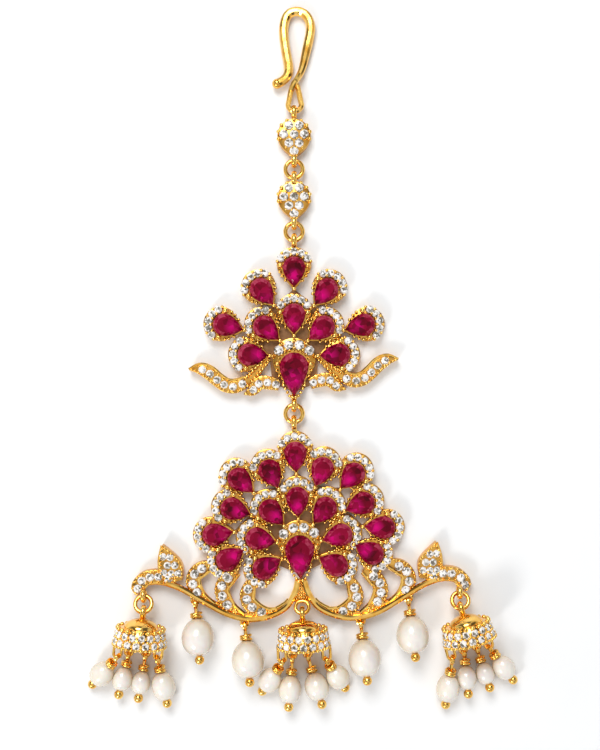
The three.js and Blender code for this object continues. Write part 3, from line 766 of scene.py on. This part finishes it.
# %% Beads and stones of a ribbon
STONE_SIZES = {"wing": (1.56, 0.72), "leaf": (1.48, 0.71), "arch": (1.62, 0.77), "comma": (1.72, 0.82)}


def along(line, spacing):
    pairs = crosses(line)
    places = []
    walked = spacing / 2
    for i in range(1, len(line)):
        step = (Vector((line[i].x, line[i].y)) - Vector((line[i - 1].x, line[i - 1].y))).length
        walked += step
        if walked >= spacing:
            walked -= spacing
            places.append((line[i], *pairs[i]))
    return places


def edge_beads(grains, line, matrix, z, spacing=0.62, size=0.23, inset=0.2, sides=(0, 1)):
    for point, left, right in along(line, spacing):
        middle = Vector((point.x, point.y))
        for i, edge in enumerate((left, right)):
            if i in sides and (edge - middle).length > inset:
                spot = edge + (middle - edge).normalized() * inset
                bead(grains, matrix, spot.x, spot.y, z, size)


def fill_beads(grains, line, matrix, z, spacing=0.56, size=0.27):
    for i, (point, left, right) in enumerate(along(line, spacing)):
        for share in ((0.3, 0.72) if i % 2 else (0.5,)):
            spot = left.lerp(right, share)
            bead(grains, matrix, spot.x, spot.y, z, size)


def stone_row(stones, line, matrix, z, kind):
    spacing, size = STONE_SIZES[kind]
    for point, _, _ in along(line, spacing):
        clear_stone(stones, matrix, point.x, point.y, z, size)


def keep_group(name, frame_word, node_name, body, bed, grains, stones):
    keep(f"{name}_{frame_word}", body, gold, "gold", node_name)
    if bed is not None:
        # the beds take the darker gold, painted shade
        keep(f"{name}_bed", bed, bed_gold_painted_shade, "gold", node_name)
    # the beads take the paler gold, painted light
    keep(f"{name}_beads", grains, bead_gold_painted_light, "gold", node_name)
    keep(f"{name}_stones", stones, clear, None, node_name, angle=FACET_ANGLE)


def strip(body, line, matrix, side, z, radius):
    points = [Vector((*(left if side > 0 else right), z)) for left, right in crosses(line)]
    wire(body, matrix, points, radius)


# %% [markdown]
# ## The upper fan
# Eleven settings, two wings with a row of clear stones each and two short leaves below them. The wings run
# on as double rows of grains up between the low rubies and the big one.

# %% Upper fan
WING = [
    (1.03, 0.08, 0.05), (0.923, 0.08, 0.8), (0.835, 0.037, 1), (0.758, -0.034, 1), (0.668, -0.097, 1),
    (0.568, -0.105, 1), (0.455, -0.05, 0.75), (0.34, 0.06, 0.65), (0.25, 0.16, 0.6),
]
WING_LEAF = [(0.505, -0.19, 0.05), (0.418, -0.156, 0.8), (0.34, -0.086, 1), (0.241, -0.09, 1),
             (0.15, -0.12, 0.8)]
RIBBON_HALF = 1.15


def wing_line(rows, side, steps=8):
    points = [(side * x * UPPER_REACH, y * UPPER_REACH, half * RIBBON_HALF) for x, y, half in rows]
    return smooth_line(points, steps)


body, bed, grains, stones = blank(4)
for label, place in upper_places:
    setting(body, bed, grains, stones, place, label == "big")
wings = upper @ at(0, 0, 0, 2.8)
TOP = RIBBON + 0.05
for side in (-1, 1):
    line = wing_line(WING, side)
    ribbon(bed, line[:46], 0, RIBBON - 0.1, wings)
    ribbon(bed, line[45:], 0, RIBBON - 0.9, wings)
    strip(body, line[:48], wings, -side, RIBBON - 0.15, 0.25)
    edge_beads(grains, line[:44], wings, TOP, sides=(0,) if side > 0 else (1,))
    edge_beads(grains, line[:44], wings, TOP - 0.1, spacing=1.1, inset=0.45, size=0.22)
    edge_beads(grains, line[42:], wings, RIBBON - 0.4, spacing=0.74, inset=0.22, size=0.33)
    stone_row(stones, line[6:45], wings, RIBBON, "wing")
    line = wing_line(WING_LEAF, side)
    ribbon(bed, line, 0, RIBBON - 0.1, wings)
    edge_beads(grains, line, wings, TOP)
    stone_row(stones, line[5:], wings, RIBBON, "leaf")

# %% [markdown]
# The fan hangs by a bail at its top and carries the lower fan by a bail at its foot. Each bail is a ring of
# wire seen edge on, on a short foot that runs into the plate.


# %% Bails of the upper fan
def bail(bm, matrix, x, y, loop, wire_size=BAIL_WIRE, z=CHAIN_HEIGHT, foot=0):
    ring(bm, matrix @ at(x, y, z) @ EDGE_ON @ BROAD, loop, wire_size, steps=36, sides=12)
    if foot:
        near = y - math.copysign(loop, foot)
        wire(bm, matrix, [(x, near, z), (x, near - foot, z - 0.3)], 0.45)


bail(body, upper, 0, UPPER_REACH + CREST + TOP_BAIL, BAIL, foot=0.9)
bail(body, upper, 0, BIG_TIP - TIP_BAIL, BAIL, foot=-0.9)
keep_group("upper_fan", "frame", "upper_fan", body, bed, grains, stones)

# %% [markdown]
# ## The gallery of the lower fan
# Under the nineteen rubies a polished rail swings out from the centre on both sides, with a thinner wire
# beside it. Each side carries three comma shaped scrolls, and beyond them an arch with a pointed leaf. The
# gallery is bent a little clockwise against its rubies.

# %% Gallery tables
SPAN, DROP = 28.4, 10.85
RAIL = [(0.018, 0.4), (0.042, 0.6), (0.1, 0.825), (0.21, 0.965), (0.335, 1), (0.465, 0.905), (0.595, 0.715),
        (0.73, 0.505), (0.82, 0.41)]
ARCH = [(0.76, 0.41, 0.7), (0.835, 0.325, 1), (0.894, 0.31, 1), (0.955, 0.345, 1), (0.995, 0.47, 1),
        (0.98, 0.58, 0.6)]
LEAF = [(0.765, 0.4, 1.1), (0.785, 0.2, 1.75), (0.81, 0.02, 1.3), (0.835, -0.19, 0.05)]
LEAF_STONES = [(0.744, 0.26), (0.788, 0.265), (0.832, 0.25), (0.763, 0.13), (0.808, 0.13), (0.79, 0.0),
               (0.833, -0.01)]
COMMAS = [
    [(0.53, 0.13, 0.5), (0.6, 0.19, 1), (0.65, 0.29, 1), (0.657, 0.455, 1), (0.615, 0.64, 0.7),
     (0.54, 0.78, 0.3)],
    [(0.385, 0.24, 0.5), (0.443, 0.345, 1), (0.483, 0.47, 1), (0.483, 0.63, 1), (0.44, 0.82, 0.8),
     (0.36, 0.96, 0.35)],
    [(0.29, 0.34, 0.4), (0.328, 0.55, 1), (0.333, 0.71, 1), (0.29, 0.845, 1), (0.22, 0.915, 0.7),
     (0.15, 0.885, 0.3)],
]
GALLERY_TURN = math.sin(math.radians(-1.8))
RAIL_PAIR = 0.82


def gallery_point(side, across, down, half=0.0):
    x = side * across * SPAN
    return Vector((x, x * GALLERY_TURN - down * DROP, half * RIBBON_HALF))


def gallery_line(side, rows, steps=8):
    return smooth_line([gallery_point(side, *row) for row in rows], steps)


def rail_line(side, z=1.6):
    return [Vector((p.x, p.y, z)) for p in gallery_line(side, RAIL)]


def rail_height(x):
    return min(rail_line(math.copysign(1, x)), key=lambda p: abs(p.x - x)).y


# %% Lower fan
body, bed, grains, stones = blank(4)
for label, place in lower_places:
    setting(body, bed, grains, stones, place, label == "big")
for side in (-1, 1):
    inner = 0 if side > 0 else 1
    wire(body, lower, rail_line(side, 1.9), 0.56)
    wire(body, lower @ at(0, RAIL_PAIR), rail_line(side, 1.5)[14:52], 0.3)
    line = gallery_line(side, ARCH)
    ribbon(bed, line, 0, RIBBON - 0.1, lower)
    strip(body, line, lower, -side, RIBBON - 0.25, 0.26)
    edge_beads(grains, line, lower, TOP, sides=(inner,))
    edge_beads(grains, line, lower, TOP, spacing=1.25, inset=0.42, size=0.2)
    stone_row(stones, line[2:38], lower, RIBBON, "arch")
    line = gallery_line(side, LEAF)
    ribbon(bed, line, 0, RIBBON, lower)
    strip(body, line, lower, -side, RIBBON - 0.1, 0.24)
    edge_beads(grains, line, lower, TOP + 0.1)
    fill_beads(grains, line[:6], lower, TOP + 0.1)
    for x, y in LEAF_STONES:
        spot = gallery_point(side, x, y)
        clear_stone(stones, lower, spot.x, spot.y, RIBBON + 0.1, 0.67)
    for rows in COMMAS:
        line = gallery_line(side, rows)
        ribbon(bed, line, 0, RIBBON - 0.35, lower)
        strip(body, line, lower, -side, RIBBON - 0.35, 0.33)
        edge_beads(grains, line[3:37], lower, RIBBON - 0.15, sides=(inner,), size=0.26)
        fill_beads(grains, line[28:37], lower, RIBBON - 0.2)
        stone_row(stones, line[4:33], lower, RIBBON - 0.05, "comma")

# %% [markdown]
# In the middle a plate runs from the big ruby's tip down to a small ring for the centre bell. The rings of
# the bells lean, because a bell lies higher than the plate that it hangs from.

# %% Centre plate, bails and eyes
CENTRE_TOP = Vector((0, -0.72 * DROP, RIBBON + 0.1))
BELL_BAIL_HEIGHT = 3.35
RAIL_EYES = (0.354, 0.65)


def arch_end(side):
    end = gallery_point(side, *ARCH[-1])
    return Vector((end.x - side * RIBBON_HALF / 2, end.y - AIR, PLATE))


def lean_ring(bm, matrix, top, loop, wire_size):
    lean = math.asin((BELL_BAIL_HEIGHT - top.z) / (2 * loop))
    tilt = at(*top) @ Matrix.Rotation(-lean, 4, "X") @ at(0, -loop)
    ring(bm, matrix @ tilt, loop, wire_size)
    return Vector((top.x, top.y - 2 * loop * math.cos(lean), BELL_BAIL_HEIGHT))


foot = rail_line(1)[16]
plate(body, [Vector(p) for p in ((-0.5, BIG_TIP), (-foot.x, foot.y), (-foot.x / 2, CENTRE_TOP.y - 0.33),
                                 (foot.x / 2, CENTRE_TOP.y - 0.33), (foot.x, foot.y), (0.5, BIG_TIP),
                                 (0, BIG_TIP + 0.45))], 0, 1.3, lower)
for row in range(6):
    y = BIG_TIP - 0.5 - 0.5 * row
    for i in range(-(row // 2), row // 2 + 1):
        bead(grains, lower, i * 0.42, y, 1.42, 0.22)
centre_hold = lean_ring(body, lower, CENTRE_TOP, 1.15, 0.33)
rail_eyes = []
for side, word in SIDES:
    end = arch_end(side)
    bail(body, lower, end.x, end.y, BAIL, z=PLATE)
    for i, share in enumerate(RAIL_EYES):
        x = side * share * SPAN
        y = rail_height(x) - 0.5 - EYE + 2 * EYE_WIRE
        ring(body, lower @ at(x, y, 1.3), EYE, EYE_WIRE + 0.03, steps=24, sides=8)
        rail_eyes.append((f"pearl_rail_{word}_{i + 1}", Vector((x, y - EYE, 1.3))))
bail(body, lower, 0, LOWER_REACH + CREST + LOWER_BAIL, BAIL, foot=1.2)
keep_group("lower_fan", "frame", "lower_fan", body, bed, grains, stones)

# %% [markdown]
# ## Jump rings
# Plain rings of round wire join the drops, the fans and the side bells. They only need to be truly round.

# %% Jump rings
ring_heights = {3: RING, 2: upper_top + TOP_BAIL + RING, 1: drop_2_y + DROP_HALF + DROP_BAIL + RING}
for number, y in ring_heights.items():
    bm = bmesh.new()
    ring(bm, home @ at(0, y, CHAIN_HEIGHT), RING, RING_WIRE, steps=48, sides=14)
    keep(f"jump_ring_{number}", bm, gold, "gold", f"link_ring_{number}")

holds = {"centre": centre_hold}
for side, word in SIDES:
    bm = bmesh.new()
    holds[word] = lean_ring(bm, lower, arch_end(side), BELL_RING, RING_WIRE)
    keep(f"side_bell_ring_{word}", bm, gold, "gold", f"bell_ring_{word}")

# %% [markdown]
# ## Pave drops
# A drop is a small pear with its round end up. Eight clear stones cover it, with grains between them and a
# row of grains round the edge.

# %% Pave drops
DROP_STONES = [(-0.3, 0.64), (0.3, 0.64), (-0.6, 0.18), (0, 0.18), (0.6, 0.18), (-0.3, -0.27), (0.3, -0.27),
               (0, -0.68)]
DROP_RADIUS, DROP_CENTRE = 2.95, 0.45
RIM_REACH, RIM_GRAINS, RIM_START, RIM_STEP = 2.78, 9, -14, 26


def pave_drop(number, y, top_loop, top_reach):
    place = home @ at(0, y)
    body, bed, grains, stones = blank(4)
    outline = pear(DROP_RADIUS, DROP_CENTRE, -DROP_HALF, flank=7, arc=22)
    plate(bed, pear(2.9, DROP_CENTRE, -3.3, flank=7, arc=22), 0, 1.75, place, 0.2)
    collar(body, outline, 0, 1.95, 0.3, place)
    for i in range(RIM_GRAINS):
        a = math.radians(RIM_START + i * RIM_STEP)
        bead(grains, place, RIM_REACH * math.cos(a), DROP_CENTRE + RIM_REACH * math.sin(a), 1.95, 0.34)
    for across, up in DROP_STONES:
        stone_x, stone_y = across * DROP_RADIUS, up * DROP_HALF
        clear_stone(stones, place, stone_x, stone_y, 2.0, 0.8)
        for way in (-1, 1):
            bead(grains, place, stone_x + way * 0.5, stone_y - 0.78, 2.08, 0.2)
    bail(body, place, 0, DROP_HALF + top_reach, top_loop, foot=0.9 if top_reach > 1 else 0)
    bail(body, place, 0, -DROP_HALF - DROP_BAIL, BAIL)
    keep_group(f"drop_{number}", "rim", f"pave_drop_{number}", body, bed, grains, stones)


pave_drop(1, drop_1_y, HOOK_BAIL, TOP_BAIL)
pave_drop(2, drop_2_y, BAIL, DROP_BAIL)

# %% [markdown]
# ## The hair hook
# One length of round wire is bent to a teardrop with a tail that turns out to a small ball. Its foot thins
# and wraps the top of a long closed loop. The hook leans back until its far end touches what it lies on.
# The table holds the points of its centre line, measured in millimetres from the middle of the bail below.

# %% Hair hook
HOOK = [(0.56, 5.8), (1.45, 7.8), (2.12, 10.8), (2.78, 13.8), (2.8, 15.7), (1.95, 17.2), (0.43, 17.75),
        (-1.05, 17.2), (-1.68, 15.7), (-1.82, 13.8), (-1.42, 10.8), (-0.93, 8.1), (-1.12, 6.5), (-2.0, 5.55),
        (-2.95, 5.05)]
HOOK_BODY, TAIL_BALL = 0.82, 0.87
LOOP_RADIUS, LOOP_STRAIGHT, LOOP_WIRE = 1.16, 2.5, 0.48
LOOP_UP = 0.3
loop_top = LOOP_UP + 2 * LOOP_RADIUS + LOOP_STRAIGHT
lean = -math.asin((CHAIN_HEIGHT - HOOK_BODY) / (HOOK[6][1] + HOOK_BODY))
hook_place = home @ at(0, hook_y, CHAIN_HEIGHT) @ Matrix.Rotation(lean, 4, "X")

bm = bmesh.new()
bend = relax(smooth_line([(x, y, 0) for x, y in HOOK], 8), 8)
wire(bm, hook_place, bend, HOOK_BODY, taper=lambda t: min(1, 0.62 + 2.4 * t))
tip = at(*HOOK[-1])
bmesh.ops.create_uvsphere(bm, u_segments=24, v_segments=16, radius=TAIL_BALL, matrix=hook_place @ tip)
long_eye(bm, hook_place @ at(0.12, LOOP_UP), LOOP_RADIUS, LOOP_WIRE, LOOP_STRAIGHT, pinch=0.66)
wrap = [(-0.5, loop_top - 1.3, 0.3), (-0.1, loop_top - 0.35, 0.6), (0.4, loop_top + 0.45, 0.6),
        (0.9, loop_top + 1.5, 0.2)]
wire(bm, hook_place, smooth_line(wrap, 6), 0.5)
keep("hair_hook_wire", bm, gold, "gold", "hair_hook")

# %% [markdown]
# ## Bells
# A jhumka bell is a hollow gold cup with a low dome. A half outline of its wall is spun round the bell's
# axis. Round the flared band run two rows of clear stones, with a row of beads below, one between them and
# a crown of larger ones above. Four long eyes under the rim carry the pearls.

# %% Bell shape
BELL_RADIUS, CROWN, BAND, RISE, WALL = 4.75, 4.15, 3.5, 1.15, 0.95
EDGE, DOME, DOME_RISE = 3.1, 2.85, 1.55
BELL_DROP = 1.4
RIM = 0.45 - BAIL - BAIL_WIRE - RISE - BAND
EYE_STRAIGHT = 1.4
BELL_STONES, BELL_STONE, BELL_GRAIN = 17, 0.68, 0.27
BEAD_ROWS = ((0.18, 34, 0.28, 0), (1.52, 34, 0.25, 0.5), (3.02, 20, 0.42, 0.5))
STONE_ROWS = ((0.86, 0), (2.16, 0.5))
KNOB = ((-0.42, -0.15, 0.3), (0.42, -0.15, 0.3), (0, -0.3, 0.34))
BAND_DEPTH, EYE_DEPTH = 0.32, 0.85
BELL_PEARL_WIDTH, BELL_PEARL_LENGTH = 4.0, 4.9


def spun(step, count):
    return Matrix.Rotation(step / count * 2 * math.pi, 4, "Y")


def lathe(bm, profile, matrix, steps):
    part = bmesh.new()
    verts = [part.verts.new((r, y, 0)) for r, y in profile]
    edges = [part.edges.new(pair) for pair in zip(verts, verts[1:])]
    bmesh.ops.spin(part, geom=verts + edges, cent=(0, 0, 0), axis=(0, 1, 0), angle=2 * math.pi, steps=steps,
                   use_merge=True)
    bmesh.ops.remove_doubles(part, verts=part.verts, dist=0.0001)
    bmesh.ops.recalc_face_normals(part, faces=part.faces)
    add(bm, part, matrix)


def bell(word, lean, pearls):
    hold = holds[word]
    group = lower @ at(hold.x, hold.y, hold.z, lean)
    axis = group @ at(0, RIM, BELL_DROP)
    body, grains, stones = blank(3)
    skin, crown = BELL_RADIUS - BAND_DEPTH, CROWN - BAND_DEPTH
    dome = []
    for i in range(11):
        a = i / 10 * math.pi / 2
        dome.append((DOME * math.cos(a), EDGE + DOME_RISE * math.sin(a)))
    profile = [(0, BAND + RISE - WALL), (DOME - WALL, EDGE - WALL), (CROWN - WALL, EDGE - WALL),
               (BELL_RADIUS - WALL, 0), (skin - 0.1, 0), (skin, 0.15), (crown, EDGE - 0.25),
               (crown - 0.2, EDGE), *dome[:-1], (0, EDGE + DOME_RISE)]
    lathe(body, profile, axis, 48)
    bail(body, group, 0, 0, BAIL, z=0)
    for y, count, size, shift in BEAD_ROWS:
        for i in range(count):
            bead(grains, axis @ spun(i + shift, count), 0, y, skin + (crown - skin) * y / EDGE + 0.05, size)
    flare = math.atan((skin - crown) / EDGE)
    for y, shift in STONE_ROWS:
        reach = skin + (crown - skin) * y / EDGE
        for i in range(BELL_STONES):
            seat = spun(i + shift, BELL_STONES) @ at(0, y, reach + 0.02) @ Matrix.Rotation(-flare, 4, "X")
            clear_stone(stones, axis @ seat, 0, 0, 0, BELL_STONE)
            bead(grains, axis @ spun(i + shift + 0.5, BELL_STONES), 0, y, reach + 0.12, BELL_GRAIN)
    for x, y, size in KNOB:
        bead(grains, group, x, y - BAIL, 0.3, size)
    eyes = []
    radius = BELL_RADIUS - EYE_DEPTH
    for around, swing, wide, long, pin in pearls:
        a = math.radians(around)
        low_y = RIM - 0.55 - EYE_STRAIGHT - EYE
        low_point = Vector((radius * math.sin(a), low_y, BELL_DROP - radius * math.cos(a)))
        long_eye(body, group @ at(*low_point), EYE, EYE_WIRE + 0.06, EYE_STRAIGHT)
        eyes.append((low_point, BELL_PEARL_WIDTH * wide, BELL_PEARL_LENGTH * long, pin, swing))
    keep_group(f"bell_{word}", "cup", f"bell_{word}", body, None, grains, stones)
    return group, hold.z, eyes


# %% [markdown]
# ## Pearls
# Each pearl is a slightly uneven egg on a pin. Above it are two turns of wire and an eye, and below it a
# polished ball. The profile is spun round the pin, and a smooth noise moves its skin by less than a tenth
# of a millimetre, so that no two pearls are alike.


# %% Pearl on its pin
COLLAR, BALL, BALL_SINK = 1.1, 0.82, 0.2
UNEVEN = 0.07


def pearl(name, matrix, width, length, pin):
    collar_top = -EYE - EYE_WIRE - pin
    top = collar_top - COLLAR
    centre = top - length / 2
    egg = bmesh.new()
    profile = []
    for i in range(17):
        a = i / 16 * math.pi
        fat = 1 + 0.05 * math.cos(a)
        profile.append((width / 2 * math.sin(a) ** 0.92 * (2 - fat), centre + length / 2 * math.cos(a)))
    profile[0], profile[-1] = (0, profile[0][1]), (0, profile[-1][1])
    lathe(egg, profile, Matrix.Identity(4), 32)
    seed = Vector((len(name) * 3.1, width * 17.0, matrix.translation.x))
    egg.normal_update()
    for vert in egg.verts:
        vert.co += vert.normal * UNEVEN * noise.noise(vert.co * 0.45 + seed)
    bmesh.ops.transform(egg, matrix=matrix, verts=egg.verts)
    keep(f"{name}_nacre", egg, nacre, "pearl", name)
    pin_gold = bmesh.new()
    ring(pin_gold, matrix @ EDGE_ON @ BROAD, EYE, EYE_WIRE + 0.05, steps=24, sides=8)
    wire(pin_gold, matrix, [(0, -EYE, 0), (0, top, 0)], 0.3)
    loop = 0.5 + 0.06 * width
    for y, lean in ((collar_top - 0.27, 5), (collar_top - 0.83, -5)):
        turn = Matrix.Rotation(math.radians(90 + lean), 4, "X") @ Matrix.Rotation(math.radians(lean), 4, "Y")
        ring(pin_gold, matrix @ at(0, y) @ turn, loop, 0.27, steps=30, sides=12)
    ball_y = centre - length / 2 + BALL_SINK - BALL
    spot = matrix @ at(0, ball_y)
    bmesh.ops.create_uvsphere(pin_gold, u_segments=28, v_segments=18, radius=BALL, matrix=spot)
    wire(pin_gold, matrix, [(0, ball_y, 0), (0, ball_y + 0.9, 0)], 0.35)
    keep(f"{name}_pin", pin_gold, gold, "gold", name)


def hang_pearl(name, group, eye, floor, width, length, pin, swing):
    drop = EYE + EYE_WIRE + pin + COLLAR + length / 2
    ball_drop = drop + length / 2 - BALL_SINK + BALL
    height = eye.z - floor
    tilt = math.asin(min((height - width / 2 - 1.4 * UNEVEN) / drop, (height - BALL) / ball_drop))
    place = group @ at(*eye, swing)
    pearl(name, place @ Matrix.Rotation(tilt, 4, "X"), width, length, pin)


# %% [markdown]
# The pearls of each bell follow from left to right: the place of the eye round the rim and the swing of the
# pearl in degrees, shares of a bell pearl's width and length, and what the pin is longer by.

# %% Pearls of the bells and of the rail
BELLS = {
    "left": (-8, [(-73, -36, 1, 0.93, 0.3), (-32, -8, 0.86, 0.85, 0.1), (12, -3, 0.82, 0.81, 0.6),
                  (54, 17, 1.03, 1.01, 0.3)]),
    "centre": (0, [(-76, -34, 0.97, 0.92, 0.25), (-32, -7, 0.99, 0.97, 0.9), (9, 15, 1.04, 1, 0.8),
                   (80, 28, 1, 0.93, 0)]),
    "right": (12, [(-68, -21, 1.01, 1.01, 1), (-18, -10, 0.86, 0.85, 0.2), (17, 3, 0.81, 0.77, 0.4),
                   (54, 22, 0.94, 0.89, 0.1)]),
}
RAIL_PEARL = {"width": 5.6, "length": 6.35, "pin": 0.55, "swing": 3.5}
for word, (lean_turn, pearls) in BELLS.items():
    group, height, eyes = bell(word, lean_turn, pearls)
    for i, (eye, width, length, pin, swing) in enumerate(eyes):
        hang_pearl(f"pearl_{word}_{i + 1}", group, eye, -height, width, length, pin, swing)
for name, eye in rail_eyes:
    hang_pearl(name, lower, eye, 0, **RAIL_PEARL)

# %% [markdown]
# ## The ground and the light
# The ornament lies on a white ground. One wide soft light from beyond the hair hook throws the faint
# shadows towards the bells, and a smaller one fills in from the other side. The sky is a white tent with
# darker patches, as a room behind the tent would make, so that polished gold has something dark to mirror.

# %% Ground
ground = bmesh.new()
bmesh.ops.create_grid(ground, x_segments=2, y_segments=2, size=1.5)
ground_mesh = bpy.data.meshes.new("ground")
ground.to_mesh(ground_mesh)
ground.free()
floor = bpy.data.objects.new("ground", ground_mesh)
floor.location.z = -0.00002
bpy.context.collection.objects.link(floor)
white, white_shader = finish("white_ground")
place = node(white, "ShaderNodeTexCoord").outputs["Object"]
paper = ramp(white, clouds(white, place, 40.0), [(0.3, (0.915, 0.93, 0.945)), (0.7, (0.935, 0.95, 0.965))])
link(white, paper, white_shader.inputs["Base Color"])
white_shader.inputs["Roughness"].default_value = 0.7
ground_mesh.materials.append(white)


# %% Lights
def soft_light(name, position, size, power, colour):
    data = bpy.data.lights.new(name, "AREA")
    data.shape = "DISK"
    data.size = size
    data.energy = power
    data.color = colour
    light = bpy.data.objects.new(name, data)
    light.location = position
    light.rotation_euler = (-Vector(position)).to_track_quat("-Z", "Y").to_euler()
    bpy.context.collection.objects.link(light)


soft_light("window", (-0.1, 0.34, 0.46), size=0.32, power=2.1, colour=(1.0, 0.995, 0.985))
soft_light("fill", (-0.25, -0.4, 0.34), size=0.14, power=1.0, colour=(1.0, 0.98, 0.96))

# %% Sky
SKY_STRENGTH = 0.77
TENT = [(0.0, 0.8), (0.8, 0.95), (0.95, 0.7), (1.0, 1.0)]

world = bpy.data.worlds.new("studio")
bpy.context.scene.world = world
world.use_nodes = True
sky = world.node_tree.nodes["Background"]
direction = node(world, "ShaderNodeTexCoord").outputs["Generated"]
up = node(world, "ShaderNodeSeparateXYZ", {"Vector": direction}).outputs["Z"]
tent = ramp(world, up, [(position, (grey, grey, grey)) for position, grey in TENT])
patches = spread(world, clouds(world, direction, 2.6, 0.0), (0.42, 0.52), (0.16, 1.1))
above = spread(world, up, (0.06, 0.3), (0.0, 1.0))
glow = mix(world, above, tent, patches, "MULTIPLY")
overhead = spread(world, up, (0.9, 0.965), (0.0, 1.08))
link(world, mix(world, 1.0, glow, overhead, "LIGHTEN"), sky.inputs["Color"])
sky.inputs["Strength"].default_value = SKY_STRENGTH
bpy.context.scene.view_settings.view_transform = "Standard"
